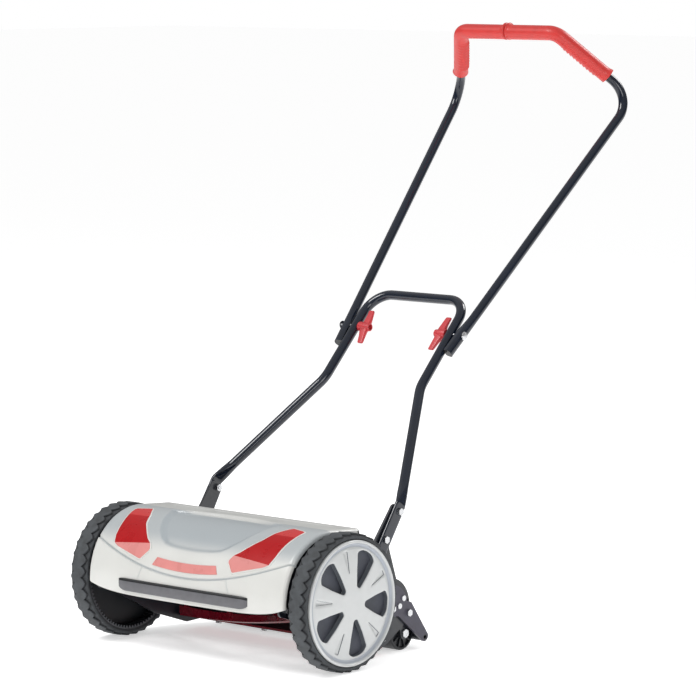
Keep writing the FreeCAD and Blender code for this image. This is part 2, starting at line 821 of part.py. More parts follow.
def make_hub_caps():
    """Domed covers with a raised rim and five rounded windows."""
    body = doc.addObject("PartDesign::Body", "hub_cap")
    dome = "({reach} * {reach} + {fall} * {fall}) / (2 * {fall})"
    sketch = new_sketch(body, "XZ_Plane")
    outline(sketch, [
        ("248", "cap_radius - 3"), ("248", "cap_radius"), ("252.2", "cap_radius"),
        ("253.8", "cap_radius - 1.5"), ("253.8", "cap_radius - 3.5"), ("248.8", "cap_radius - 7"),
        ("248.8", "cap_radius - 9.5"), ("cap_face - 5.3", "cap_radius - 10.5"), ("cap_face", "0"),
        ("cap_face - 2.6", "0"), ("cap_face - 8.2", "cap_radius - 9.5"), ("cap_face - 8.2", "cap_radius - 6"),
    ], {7: (dome.format(fall="5.3", reach="(cap_radius - 10.5)"), 1),
        9: (dome.format(fall="5.6", reach="(cap_radius - 9.5)"), -1)})
    spin = body.newObject("PartDesign::Revolution", "Revolution")
    spin.Profile = sketch
    spin.ReferenceAxis = (sketch, ["H_Axis"])
    spin.Angle = 360
    doc.recompute()
    window = new_sketch(body, "YZ_Plane", "260")
    outline(window, [("27", "-5"), ("27", "5"), ("72", "20"), ("80", "14"), ("80", "-14"), ("72", "-20")],
            {3: ("84", 1)})
    hole = body.newObject("PartDesign::Pocket", "Pocket")
    hole.Profile = window
    hole.Length = 20
    doc.recompute()
    pattern = body.newObject("PartDesign::PolarPattern", "PolarPattern")
    pattern.Originals = [hole]
    pattern.Axis = (origin_plane(body, "X_Axis"), [""])
    pattern.Angle = 360
    pattern.Occurrences = 5
    body.Tip = pattern
    set_place(body, "0", "0", "axle_height")
    body.Placement.Rotation = Rotation(Vector(1, 0, 0), -7.6)
    keep("hub_cap", body)
    both_sides("hub_cap", body)


def make_wheel_axles():
    """Stub axles through the side plates, with a nut inside and a clip outside."""
    axle = turned("wheel_axle", [
        ("185.7", "0"), ("185.7", "axle_radius"), ("plate_inner + plate_thick", "axle_radius"),
        ("plate_inner + plate_thick", "14"), ("215.6", "14"), ("215.6", "axle_radius"),
        ("246.5", "axle_radius"), ("246.5", "0"),
    ], "0", "axle_height")
    both_sides("wheel_axle", axle)
    twins("axle_nuts", [ring_nut("plate_inner - 4", "4", "0", "axle_height", "11.5", "axle_radius + 0.02")])
    clip = turned("wheel_clips", [
        ("243.4", "axle_radius + 0.02"), ("243.4", "13"), ("245", "13"), ("245", "axle_radius + 0.02"),
    ], "0", "axle_height")
    twins("wheel_clips", [clip])


# ---------------------------------------------------------------- rear roller

def make_roller_brackets():
    """Height brackets outside the side plates and the arms inside them."""
    corners = [
        ("pivot_back - 13", "pivot_height + 11"),
        ("pivot_back + 9.6", "pivot_height + 35.7"),
        ("pivot_back + 36.2", "pivot_height + 7.7"),
        ("196.5", "76.2"),
        ("tip_back + 7", "tip_height + 3.8"),
        ("tip_back - 6.6", "tip_height - 4.6"),
        ("166", "58.5"),
        ("pivot_back - 9", "pivot_height - 14"),
    ]
    holes = [
        (("pivot_back", "pivot_height"), "bolt_radius + 0.02"),
        (("lock_back", "lock_height"), "bolt_radius + 0.02"),
        (("tip_back", "tip_height"), "4.52"),
        (("168.2", "73.6"), "2.52"),
        (("177.6", "84.9"), "2.52"),
    ]
    arcs = {1: ("37", 1), 4: ("8.4", 1)}
    outer = plate("bracket", corners, "plate_inner + plate_thick + face_gap", "4", holes,
                  [((0, 7), "8"), ((3, 6), "3")], arcs)
    both_sides("roller_bracket", outer)
    corners = [
        ("pivot_back - 11", "pivot_height + 8"), ("pivot_back", "pivot_height + 13"),
        ("lock_back + 6", "lock_height + 9"), ("lock_back + 9", "lock_height"),
        ("roller_back + 9", "roller_height - 3"), ("roller_back - 9", "roller_height - 3"),
        ("176", "50"), ("pivot_back - 6", "pivot_height - 13"),
    ]
    holes = [
        (("pivot_back", "pivot_height"), "bolt_radius + 0.02"),
        (("lock_back", "lock_height"), "bolt_radius + 0.02"),
        (("roller_back", "roller_height"), "4.02"),
    ]
    inner = plate("arm", corners, "plate_inner - face_gap - 3.5", "3.5", holes, [((0, 2, 3, 6, 7), "5")],
                  {4: ("9.4", 1)})
    both_sides("roller_arm", inner)


def make_height_bolts():
    """Pivot and lock bolts of the height brackets, and two rivets on each."""
    start = "plate_inner - face_gap - 8.5"
    outer = "plate_inner + plate_thick + face_gap + 4"
    pivots = []
    for name, y, z, head in (("height_pivots", "pivot_back", "pivot_height", "6.5"),
                             ("height_lock_bolts", "lock_back", "lock_height", "5.8")):
        shank = rod(start, f"{outer} - ({start}) + 0.5", y, z, "bolt_radius")
        cap = hexagon(outer, "4", y, z, head)
        nut = hexagon(start, "4.9", y, z, "5.6")
        twins(name, [fused(shank, cap, nut)])
    for y, z in (("168.2", "73.6"), ("177.6", "84.9")):
        shank = rod(f"{outer} - 3.9", "4.4", y, z, "2.5")
        pivots.append(fused(shank, rod(outer, "1.6", y, z, "4.4")))
    twins("bracket_rivets", pivots)


def make_cross_bar():
    """Round bar between the bracket tips; a grass box hooks on to it."""
    inner = "plate_inner + plate_thick + face_gap - 0.1"
    end = "plate_inner + plate_thick + face_gap + 3.7"
    turned("rear_cross_bar", [
        (f"-({end})", "3"), (f"-({end})", "4.5"), (f"-({inner})", "4.5"), (f"-({inner})", "cross_radius"),
        (inner, "cross_radius"), (inner, "4.5"), (end, "4.5"), (end, "3"),
    ], "tip_back", "tip_height")


def make_roller():
    """Hollow roller with ribbed end caps, turning on a fixed axle."""
    y, z = "roller_back", "roller_height"
    turned("roller_tube", [
        ("-178", "roller_radius - 3"), ("-178", "roller_radius"),
        ("178", "roller_radius"), ("178", "roller_radius - 3"),
    ], y, z)
    body = doc.addObject("PartDesign::Body", "roller_end")
    sketch = new_sketch(body, "XZ_Plane")
    hole = "4 + running_gap"
    outline(sketch, [
        ("178", hole), ("178", "roller_radius"), ("roller_half - 1.5", "roller_radius"),
        ("roller_half", "roller_radius - 1.5"), ("roller_half", "roller_radius - 4"),
        ("roller_half - 3.5", "roller_radius - 4"), ("roller_half - 3.5", "9"),
        ("roller_half", "8"), ("roller_half", hole),
    ])
    spin = body.newObject("PartDesign::Revolution", "Revolution")
    spin.Profile = sketch
    spin.ReferenceAxis = (sketch, ["H_Axis"])
    spin.Angle = 360
    doc.recompute()
    rib_sketch = new_sketch(body, "YZ_Plane", "roller_half - 4")
    outline(rib_sketch, [("7.5", "-1"), ("roller_radius - 3.5", "-1"), ("roller_radius - 3.5", "1"), ("7.5", "1")])
    rib = pad(body, rib_sketch, "3.4")
    doc.recompute()
    pattern = body.newObject("PartDesign::PolarPattern", "PolarPattern")
    pattern.Originals = [rib]
    pattern.Axis = (origin_plane(body, "X_Axis"), [""])
    pattern.Angle = 360
    pattern.Occurrences = 10
    body.Tip = pattern
    set_place(body, "0", y, z)
    keep("roller_end", body)
    both_sides("roller_end", body)
    turned("roller_axle", [("-192.5", "0"), ("-192.5", "4"), ("192.5", "4"), ("192.5", "0")], y, z)
    twins("roller_axle_nuts", [ring_nut("plate_inner - face_gap + 0.1", "3", y, z, "7", "4.02")])


# ---------------------------------------------------------------- handle

def make_lower_handle():
    """Bent tube with flattened feet, bolted outside the side plates."""
    toward = (LOWER_BEND - LOWER_KINK).normalize()
    tube_start = LOWER_KINK + toward * 18
    right = [tube_start, LOWER_BEND, LOWER_CORNER]
    path = rounded_path(right + [mirror_point(p) for p in reversed(right)], [60, 39, 39, 60])
    tube = cut(swept(path, "lower_tube_radius"), swept(path, "lower_tube_radius - tube_wall"))
    slope = math.radians(FOOT_SLOPE)
    along = Vector(0, math.cos(slope), math.sin(slope))
    across = Vector(0, -math.sin(slope), math.cos(slope)) * (value("foot_width") / 2)
    thick = Vector(value("foot_thick") / 2, 0, 0)

    def ring(centre, wide, deep):
        corners = [centre + wide + deep, centre + wide - deep, centre - wide - deep, centre - wide + deep]
        return Part.makePolygon(corners + [corners[0]])

    feet = []
    middle = Vector(value("plate_inner + plate_thick + face_gap + foot_thick / 2"), LOWER_KINK.y, LOWER_KINK.z)
    neck_wide = toward.cross(Vector(1, 0, 0)).normalize() * -6.2
    neck_deep = toward.cross(neck_wide).normalize() * 4.8
    if neck_deep.x < 0:
        neck_deep = neck_deep * -1
    flat = Part.makeLoft([ring(middle - along * 86, across, thick), ring(middle, across, thick)], True, True)
    taper = Part.makeLoft([ring(middle, across, thick), ring(tube_start, neck_wide, neck_deep)], True, True)
    ball = Part.makeSphere(value("lower_tube_radius"), tube_start)
    foot = flat.fuse([taper, ball])
    bolt_holes = []
    for name in ("foot_bolt_1", "foot_bolt_2"):
        place = Vector(180, value(f"{name}_back"), value(f"{name}_height"))
        bolt_holes.append(Part.makeCylinder(value("bolt_radius + 0.02"), 40, place, Vector(1, 0, 0)))
    foot = foot.cut(bolt_holes)
    thing = doc.addObject("Part::Feature", "foot")
    thing.Shape = foot
    twin = doc.addObject("Part::Mirroring", "FootTwin")
    twin.Source = thing
    twin.Normal = Vector(1, 0, 0)
    hole = rod("-130", "260", "fold_back", "fold_height", "bolt_radius + running_gap")
    keep("lower_handle", cut(fused(tube, thing, twin), hole))


def make_foot_bolts():
    """The four bolts, with nuts, that hold the handle's feet."""
    bolts = []
    outer = "plate_inner + plate_thick + face_gap + foot_thick"
    for name in ("foot_bolt_1", "foot_bolt_2"):
        y, z = f"{name}_back", f"{name}_height"
        shank = rod("plate_inner - 6", f"{outer} - plate_inner + 6.5", y, z, "bolt_radius")
        head = hexagon(outer, "3.8", y, z, "6")
        nut = hexagon("plate_inner - 5", "5", y, z, "6")
        bolts.append(fused(shank, head, nut))
    twins("foot_bolts", bolts)


def make_upper_handle():
    """Bent tube outside the lower one, with two moulded grips on top."""
    right = [UPPER_END, UPPER_BEND, UPPER_CORNER]
    path = rounded_path(right + [mirror_point(p) for p in reversed(right)], [45, 25, 25, 45])
    tube = cut(swept(path, "upper_tube_radius"), swept(path, "upper_tube_radius - tube_wall"))
    hole = rod("-140", "280", "fold_back", "fold_height", "bolt_radius + 0.02")
    keep("upper_handle", cut(tube, hole))
    toward = (UPPER_CORNER - UPPER_BEND).normalize()
    start = UPPER_BEND + toward * 56
    middle = Vector(0.6, UPPER_CORNER.y, UPPER_CORNER.z)
    grip_path = rounded_path([start, UPPER_CORNER, middle], [25])
    sleeve = swept(grip_path, "grip_radius")
    collar = swept(Part.Wire(Part.LineSegment(start - toward * 1, start + toward * 6).toShape()), "grip_radius + 2")
    stop = middle + Vector(0, 0, 2.2)
    bead = swept(Part.Wire(Part.LineSegment(stop, stop + Vector(5, 0, 0)).toShape()), "grip_radius + 1.4")
    long_path = rounded_path([start - toward * 4, UPPER_CORNER, Vector(-4, UPPER_CORNER.y, UPPER_CORNER.z)], [25])
    grip = cut(fused(sleeve, collar, bead), swept(long_path, "upper_tube_radius + 0.03"))
    keep("grip", grip)
    both_sides("grip", grip)


def make_fold_bolts():
    """Carriage bolts that the handle folds about, and their wing nuts."""
    bolt = turned("fold_bolt", [
        ("79", "0"), ("79", "bolt_radius"), ("130.6", "bolt_radius"), ("130.6", "7"),
        ("131.8", "6.4"), ("133.2", "3.5"), ("133.5", "0"),
    ], "fold_back", "fold_height")
    both_sides("fold_bolt", bolt)
    body = doc.addObject("PartDesign::Body", "wing_nut")
    sketch = new_sketch(body, "XZ_Plane")
    hole = "bolt_radius + running_gap"
    outline(sketch, [
        ("70", "4.4"), ("70", "6.2"), ("71", "6.8"), ("90.7", "8.2"), ("92.7", "7.6"), ("92.7", hole),
        ("76", hole), ("76", "4.4"),
    ])
    spin = body.newObject("PartDesign::Revolution", "Revolution")
    spin.Profile = sketch
    spin.ReferenceAxis = (sketch, ["H_Axis"])
    spin.Angle = 360
    doc.recompute()
    wings = new_sketch(body, "YZ_Plane", "74")
    outline(wings, [("6", "-4"), ("wing_span", "-2.4"), ("wing_span", "2.4"), ("6", "4")])
    wing = pad(body, wings, "11")
    doc.recompute()
    pattern = body.newObject("PartDesign::PolarPattern", "PolarPattern")
    pattern.Originals = [wing]
    pattern.Axis = (origin_plane(body, "X_Axis"), [""])
    pattern.Angle = 360
    pattern.Occurrences = 2
    body.Tip = pattern
    set_place(body, "0", "fold_back", "fold_height")
    body.Placement.Rotation = Rotation(Vector(1, 0, 0), 52)
    keep("wing_nut", body)
    both_sides("wing_nut", body)


# ---------------------------------------------------------------- whole machine

def check_document():
    """Stop if any feature failed or any kept shape is null or invalid."""
    for thing in doc.Objects:
        if "Invalid" in thing.State or "Error" in thing.State:
            raise RuntimeError(f"{thing.Name} ({thing.Label}) failed: {thing.State}")
    for label, thing in kept.items():
        if thing.Shape.isNull() or not thing.Shape.isValid() or not thing.Shape.Solids:
            raise RuntimeError(f"{label} has no valid solid")


def centre_on_footprint():
    """Move everything along Y, so that the origin is under the middle."""
    boxes = [thing.Shape.optimalBoundingBox(True, False) for thing in kept.values()]
    low = min(box.YMin for box in boxes)
    high = max(box.YMax for box in boxes)
    shift = Placement(Vector(0, -(low + high) / 2, 0), Rotation())
    for thing in kept.values():
        thing.Placement = shift.multiply(thing.Placement)
    return shift.Base.y


def main():
    """Build every sub-part, check the document and write the STEP files."""
    for step in (make_side_plates, make_tie_rods, make_reel_bearings, make_shroud, make_shroud_screws,
                 make_bumper, make_bed_knife, make_adjusters, make_reel_shaft, make_spiders,
                 make_blades, make_ring_gears, make_pinions, make_rims, make_tyres, make_hub_caps,
                 make_wheel_axles, make_roller_brackets, make_height_bolts, make_cross_bar,
                 make_roller, make_lower_handle, make_foot_bolts, make_upper_handle, make_fold_bolts):
        step()
    doc.recompute()
    check_document()
    moved = centre_on_footprint()
    os.makedirs("parts", exist_ok=True)
    for label, thing in kept.items():
        thing.Shape.exportStep(f"parts/{label}.step")
    print(f"{len(kept)} sub-parts, wheel axle at Y = {moved:.2f}, Z = {value('axle_height'):.1f}")


main()
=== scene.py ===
"""Reel mower: the looks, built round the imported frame.

Lengths in the tables below are millimetres: x runs along the wheel axle, y is
measured backwards from the axle and z is the height above the ground.
"""

import math

import bmesh
import bpy
import numpy as np
from mathutils import Matrix, Vector
from mathutils.geometry import delaunay_2d_cdt


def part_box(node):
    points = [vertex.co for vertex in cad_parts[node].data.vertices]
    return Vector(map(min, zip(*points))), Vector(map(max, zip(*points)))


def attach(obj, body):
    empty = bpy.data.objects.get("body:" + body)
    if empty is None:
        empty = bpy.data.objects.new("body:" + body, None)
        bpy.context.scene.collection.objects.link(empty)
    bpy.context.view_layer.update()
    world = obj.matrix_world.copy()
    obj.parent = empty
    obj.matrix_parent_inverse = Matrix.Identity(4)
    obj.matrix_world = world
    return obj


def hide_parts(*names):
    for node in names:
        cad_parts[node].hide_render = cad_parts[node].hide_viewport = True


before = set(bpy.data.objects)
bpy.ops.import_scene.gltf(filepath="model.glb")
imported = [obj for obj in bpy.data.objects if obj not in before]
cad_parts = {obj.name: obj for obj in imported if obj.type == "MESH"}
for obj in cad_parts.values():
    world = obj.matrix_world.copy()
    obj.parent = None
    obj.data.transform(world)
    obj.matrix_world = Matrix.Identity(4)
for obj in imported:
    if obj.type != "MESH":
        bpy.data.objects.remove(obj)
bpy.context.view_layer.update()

MM = 0.001
AXLE_LOW, AXLE_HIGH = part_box("wheel_axle_right")
AXLE_Y = (AXLE_LOW.y + AXLE_HIGH.y) / 2 / MM
AXLE_Z = (AXLE_LOW.z + AXLE_HIGH.z) / 2 / MM


def at(x, y, z):
    """A place given from the wheel axle and the ground, in the frame's metres."""
    return Vector((x, y + AXLE_Y, z)) * MM


# ---------------------------------------------------------------- camera, lights, floor

TARGET = at(0, 270, 452)
CAMERA_DISTANCE = 6.0
CAMERA_AZIMUTH = math.radians(41.94)
CAMERA_ELEVATION = math.radians(6.18)
CAMERA_LENS = 195.4
LAMPS_AIM = Vector((0, 0, 0.3))
# Name, place and size in metres, and power in watts.
SOFTBOXES = [("key", (-1.2, -2.2, 3.0), 1.3, 62), ("fill", (3.0, -1.6, 1.6), 1.4, 24),
             ("rear", (0.6, 2.8, 2.6), 1.2, 44)]
# The light from around rises from the first strength to the second between these heights.
AMBIENT_HEIGHTS = (-0.1, 0.75)
AMBIENT_STRENGTHS = (0.06, 0.6)
FLOOR_REACH = 30.0
FLOOR_GLOW = 0.5


def aim(thing, target):
    """Turn a lamp or camera to look at a point."""
    thing.rotation_euler = (target - thing.location).to_track_quat("-Z", "Y").to_euler()


def add_camera():
    """A long lens, low down and in front of the right-hand wheel."""
    data = bpy.data.cameras.new("camera")
    data.lens = CAMERA_LENS
    data.sensor_width = 36
    data.clip_end = 50
    camera = bpy.data.objects.new("camera", data)
    flat = math.cos(CAMERA_ELEVATION) * CAMERA_DISTANCE
    rise = math.sin(CAMERA_ELEVATION) * CAMERA_DISTANCE
    camera.location = TARGET + Vector((
        flat * math.sin(CAMERA_AZIMUTH), -flat * math.cos(CAMERA_AZIMUTH), rise,
    ))
    aim(camera, TARGET)
    bpy.context.scene.collection.objects.link(camera)
    bpy.context.scene.camera = camera


def add_softbox(name, place, size, power):
    """A square area lamp that looks at the machine."""
    data = bpy.data.lights.new(name, "AREA")
    data.shape = "SQUARE"
    data.size = size
    data.energy = power
    lamp = bpy.data.objects.new(name, data)
    lamp.location = place
    aim(lamp, LAMPS_AIM)
    bpy.context.scene.collection.objects.link(lamp)


def add_studio():
    """A white backdrop, soft light from above, three softboxes and a pale floor."""
    world = bpy.data.worlds.new("studio")
    world.use_nodes = True
    tree = world.node_tree
    backdrop = tree.nodes["Background"]
    backdrop.inputs["Color"].default_value = (1, 1, 1, 1)
    place = tree.nodes.new("ShaderNodeTexCoord")
    split = tree.nodes.new("ShaderNodeSeparateXYZ")
    height = tree.nodes.new("ShaderNodeMapRange")
    height.inputs["From Min"].default_value = AMBIENT_HEIGHTS[0]
    height.inputs["From Max"].default_value = AMBIENT_HEIGHTS[1]
    height.inputs["To Min"].default_value = AMBIENT_STRENGTHS[0]
    height.inputs["To Max"].default_value = AMBIENT_STRENGTHS[1]
    seen = tree.nodes.new("ShaderNodeLightPath")
    brightest = tree.nodes.new("ShaderNodeMath")
    brightest.operation = "MAXIMUM"
    tree.links.new(place.outputs["Generated"], split.inputs["Vector"])
    tree.links.new(split.outputs["Z"], height.inputs["Value"])
    tree.links.new(height.outputs["Result"], brightest.inputs[0])
    tree.links.new(seen.outputs["Is Camera Ray"], brightest.inputs[1])
    tree.links.new(brightest.outputs["Value"], backdrop.inputs["Strength"])
    bpy.context.scene.world = world
    bpy.context.scene.view_settings.view_transform = "Standard"
    for softbox in SOFTBOXES:
        add_softbox(*softbox)
    data = bpy.data.meshes.new("floor")
    corners = [(-1, -1), (1, -1), (1, 1), (-1, 1)]
    data.from_pydata([(x * FLOOR_REACH, y * FLOOR_REACH, 0) for x, y in corners], [], [(0, 1, 2, 3)])
    floor = bpy.data.objects.new("floor", data)
    white = finish("floor_paint", (250, 250, 250), 0.9, mottle=0.0)
    glow = white.node_tree.nodes["Principled BSDF"]
    glow.inputs["Emission Color"].default_value = (1, 1, 1, 1)
    glow.inputs["Emission Strength"].default_value = FLOOR_GLOW
    data.materials.append(white)
    bpy.context.scene.collection.objects.link(floor)


# ---------------------------------------------------------------- materials

NOISE_LOW, NOISE_HIGH = 0.3, 0.7
COAT_ROUGHNESS = 0.06
BUMP_STRENGTH = 0.6


def linear(colour):
    """sRGB bytes as the linear colour that a shader takes."""
    parts = [c / 255 for c in colour]
    parts = [p / 12.92 if p <= 0.04045 else ((p + 0.055) / 1.055) ** 2.4 for p in parts]
    return (*parts, 1.0)


def scaled(colour, factor):
    """The colour made lighter or darker, in sRGB bytes."""
    return tuple(min(255.0, c * factor) for c in colour)


def finish(name, colour, rough, metallic=0.0, coat=0.0, mottle=0.05, patch=40.0,
           grain=0.0, grain_size=0.8, rough_spread=0.06, second=None, specular=0.5):
    """A painted, moulded or metal surface.

    mottle: share by which the colour wanders over patches of that many mm.
    grain: depth of the fine surface texture in mm, at grain_size mm.
    second: a darker colour for painted shade, laid on by a shade share stored on the mesh.
    """
    material = bpy.data.materials.new(name)
    material.use_nodes = True
    tree = material.node_tree
    shader = tree.nodes["Principled BSDF"]
    shader.inputs["Metallic"].default_value = metallic
    shader.inputs["Coat Weight"].default_value = coat
    shader.inputs["Coat Roughness"].default_value = COAT_ROUGHNESS
    shader.inputs["Specular IOR Level"].default_value = specular
    place = tree.nodes.new("ShaderNodeTexCoord")
    cloud = tree.nodes.new("ShaderNodeTexNoise")
    cloud.inputs["Scale"].default_value = 1 / (patch * MM)
    cloud.inputs["Detail"].default_value = 5
    tree.links.new(place.outputs["Object"], cloud.inputs["Vector"])
    shade = tree.nodes.new("ShaderNodeValToRGB")
    shade.color_ramp.elements[0].position = NOISE_LOW
    shade.color_ramp.elements[1].position = NOISE_HIGH
    shade.color_ramp.elements[0].color = linear(scaled(colour, 1 - mottle))
    shade.color_ramp.elements[1].color = linear(scaled(colour, 1 + mottle))
    tree.links.new(cloud.outputs["Fac"], shade.inputs["Fac"])
    tint = shade.outputs["Color"]
    if second:
        painted_shade = tree.nodes.new("ShaderNodeAttribute")
        painted_shade.attribute_name = "painted_shade"
        mix = tree.nodes.new("ShaderNodeMix")
        mix.data_type = "RGBA"
        tree.links.new(painted_shade.outputs["Fac"], mix.inputs["Factor"])
        tree.links.new(tint, mix.inputs["A"])
        mix.inputs["B"].default_value = linear(second)
        tint = mix.outputs["Result"]
    tree.links.new(tint, shader.inputs["Base Color"])
    spread = tree.nodes.new("ShaderNodeMapRange")
    spread.inputs["From Min"].default_value = NOISE_LOW
    spread.inputs["From Max"].default_value = NOISE_HIGH
    spread.inputs["To Min"].default_value = max(0.02, rough - rough_spread)
    spread.inputs["To Max"].default_value = min(1.0, rough + rough_spread)
    tree.links.new(cloud.outputs["Fac"], spread.inputs["Value"])
    tree.links.new(spread.outputs["Result"], shader.inputs["Roughness"])
    if grain:
        fine = tree.nodes.new("ShaderNodeTexNoise")
        fine.inputs["Scale"].default_value = 1 / (grain_size * MM)
        fine.inputs["Detail"].default_value = 3
        bump = tree.nodes.new("ShaderNodeBump")
        bump.inputs["Strength"].default_value = BUMP_STRENGTH
        bump.inputs["Distance"].default_value = grain * MM
        tree.links.new(place.outputs["Object"], fine.inputs["Vector"])
        tree.links.new(fine.outputs["Fac"], bump.inputs["Height"])
        tree.links.new(bump.outputs["Normal"], shader.inputs["Normal"])
    return material


def make_finishes():
    """Every finish on the machine, by name."""
    return {
        # The second colour is painted shade: greying over the upper front and darkening in the moulded
        # channels.
        "shroud": finish("shroud_plastic", (212, 212, 208), 0.34, coat=0.25, mottle=0.012, patch=60,
                         grain=0.02, grain_size=1.2, second=(163, 170, 174)),
        "shroud_seam": finish("shroud_seam", (158, 168, 165), 0.5, mottle=0.03),
        "window_red": finish("window_red", (172, 6, 14), 0.3, mottle=0.02, patch=25,
                             specular=0.2),
        # Painted reflection: the pale pink stands for the bright studio reflected in the red inserts' lower
        # parts and in the front strip.
        "window_painted_reflection": finish("window_painted_reflection", (214, 138, 134), 0.3, mottle=0.02, patch=25,
                              specular=0.2),
        "window_coral": finish("window_coral", (196, 50, 50), 0.3, mottle=0.02, patch=25,
                               specular=0.25),
        "bumper": finish("bumper_plastic", (98, 98, 102), 0.5, mottle=0.05, patch=12, grain=0.08),
        # Near-black finish used as painted shadow: on the bumper's top and ends and on the upper tube's
        # open end.
        "shadow": finish("painted_shadow_black", (20, 21, 24), 0.42, mottle=0.15, patch=20, grain=0.05),
        "chassis": finish("chassis_paint", (22, 25, 33), 0.34, coat=0.3, mottle=0.15, patch=30, grain=0.03),
        "bracket": finish("bracket_paint", (66, 64, 76), 0.42, metallic=0.25, coat=0.15, mottle=0.08,
                          patch=12, grain=0.05),
        "zinc": finish("zinc_plate", (205, 206, 208), 0.26, metallic=1.0, mottle=0.06, patch=4),
        "nylon": finish("nylon", (214, 212, 202), 0.48, mottle=0.03, grain=0.03),
        "reel": finish("reel_paint", (104, 4, 24), 0.26, coat=0.5, mottle=0.1, patch=30, grain=0.02),
        "gear": finish("gear_steel", (92, 94, 98), 0.38, metallic=0.9, mottle=0.1, patch=8),
        "rim": finish("rim_plastic", (24, 26, 31), 0.5, mottle=0.12, patch=20, grain=0.06),
        # The second colour is painted shade on the lug steps and in the tread's recesses.
        "tyre": finish("tyre_rubber", (66, 69, 72), 0.72, mottle=0.16, patch=14, grain=0.14,
                       grain_size=1.1, second=(22, 24, 28)),
        # The second colour is painted shade in the recessed ring round the domed disc.
        "hub_cap": finish("hub_cap_silver", (200, 202, 202), 0.36, metallic=0.12, coat=0.2, mottle=0.015,
                          patch=20, grain=0.015, second=(160, 166, 176)),
        # Painted shade for the walls of the hub cap's windows and wedge marks.
        "hub_wall_shade": finish("hub_wall_shade", (92, 96, 102), 0.5, mottle=0.05, patch=15, grain=0.03),
        "hub_floor": finish("hub_floor", (64, 67, 76), 0.55, mottle=0.1, patch=18, grain=0.03),
        "tube": finish("tube_gloss", (10, 20, 36), 0.13, coat=0.6, mottle=0.1, patch=60, specular=0.3),
        "grip": finish("grip_rubber", (200, 48, 44), 0.42, coat=0.1, mottle=0.03, patch=12, grain=0.05),
        "wing_nut": finish("wing_nut_plastic", (196, 54, 60), 0.4, coat=0.1, mottle=0.03, patch=8,
                           grain=0.04),
        "roller": finish("roller_plastic", (20, 22, 27), 0.4, mottle=0.15, patch=25, grain=0.05),
    }


# ---------------------------------------------------------------- mesh helpers

def new_piece(name, vertices, faces, finishes, body, slot, replaces=(), smooth=35.0):
    """A mesh object with its finishes, set on its body."""
    data = bpy.data.meshes.new(name)
    data.from_pydata([tuple(v) for v in vertices], [], faces)
    data.validate()
    for material in finishes:
        data.materials.append(material)
    data.polygons.foreach_set("use_smooth", [True] * len(data.polygons))
    piece = bpy.data.objects.new(name, data)
    bpy.context.scene.collection.objects.link(piece)
    work = bmesh.new()
    work.from_mesh(data)
    bmesh.ops.recalc_face_normals(work, faces=work.faces)
    work.to_mesh(data)
    work.free()
    data.set_sharp_from_angle(angle=math.radians(smooth))
    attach(piece, body)
    if replaces:
        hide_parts(*replaces)
    return piece


def skin(rings, loop=False, caps=True):
    """Faces that join rings of equal length, one after another."""
    count = len(rings[0])
    vertices = [v for ring in rings for v in ring]
    faces = []
    pairs = len(rings) if loop else len(rings) - 1
    for row in range(pairs):
        a, b = row * count, ((row + 1) % len(rings)) * count
        for i in range(count):
            j = (i + 1) % count
            faces.append((a + i, a + j, b + j, b + i))
    if caps and not loop:
        faces.append(tuple(range(count))[::-1])
        last = (len(rings) - 1) * count
        faces.append(tuple(range(last, last + count)))
    return vertices, faces


def joined(*parts):
    """Several (vertices, faces) lists as one."""
    vertices, faces = [], []
    for part_vertices, part_faces in parts:
        start = len(vertices)
        vertices += list(part_vertices)
        faces += [tuple(i + start for i in face) for face in part_faces]
    return vertices, faces


def rounded_path(points, radii, step=3.0):
    """Points along straight runs with rounded corners, about step mm apart."""
    points = [Vector(p) for p in points]
    path = [points[0]]

    def run_to(end):
        start = path[-1]
        count = max(1, round((end - start).length / step))
        path.extend(start.lerp(end, (i + 1) / count) for i in range(count))

    for i, radius in enumerate(radii, start=1):
        before = (points[i] - points[i - 1]).normalized()
        after = (points[i + 1] - points[i]).normalized()
        turn = before.angle(after)
        reach = radius * math.tan(turn / 2)
        centre = points[i] + (after - before).normalized() * (radius / math.cos(turn / 2))
        run_to(points[i] - before * reach)
        axis = before.cross(after).normalized()
        count = max(4, round(radius * turn / step * 1.5))
        arm = path[-1] - centre
        for k in range(1, count + 1):
            path.append(centre + Matrix.Rotation(turn * k / count, 3, axis) @ arm)
    run_to(points[-1])
    return path


def carried_frames(path, first):
    """For each point of a path: its distance along, its tangent and two normals."""
    frames = []
    normal = Vector(first)
    length = 0.0
    for i, point in enumerate(path):
        before = path[max(i - 1, 0)]
        after = path[min(i + 1, len(path) - 1)]
        tangent = (after - before).normalized()
        normal = (normal - tangent * normal.dot(tangent)).normalized()
        if i:
            length += (point - path[i - 1]).length
        frames.append((length, tangent, normal.copy(), tangent.cross(normal)))
    return frames


def swept_rings(path, first, section):
    """Rings of points round a path. section(length) gives (along, across) pairs."""
    rings = []
    for point, (length, _, normal, across) in zip(path, carried_frames(path, first)):
        rings.append([at(*(point + normal * a + across * b)) for a, b in section(length)])
    return rings


def unit_circle(count):
    """Points of a circle of radius 1."""
    angles = [2 * math.pi * i / count for i in range(count)]
    return [(math.cos(a), math.sin(a)) for a in angles]


def with_mirror_image(piece):
    """Add the left half to a piece that has its right half only."""
    work = bmesh.new()
    work.from_mesh(piece.data)
    copy = bmesh.ops.duplicate(work, geom=work.verts[:] + work.edges[:] + work.faces[:])["geom"]
    for item in copy:
        if isinstance(item, bmesh.types.BMVert):
            item.co.x = -item.co.x
    bmesh.ops.reverse_faces(work, faces=[f for f in copy if isinstance(f, bmesh.types.BMFace)])
    bmesh.ops.remove_doubles(work, verts=work.verts, dist=1e-6)
    work.to_mesh(piece.data)
    work.free()


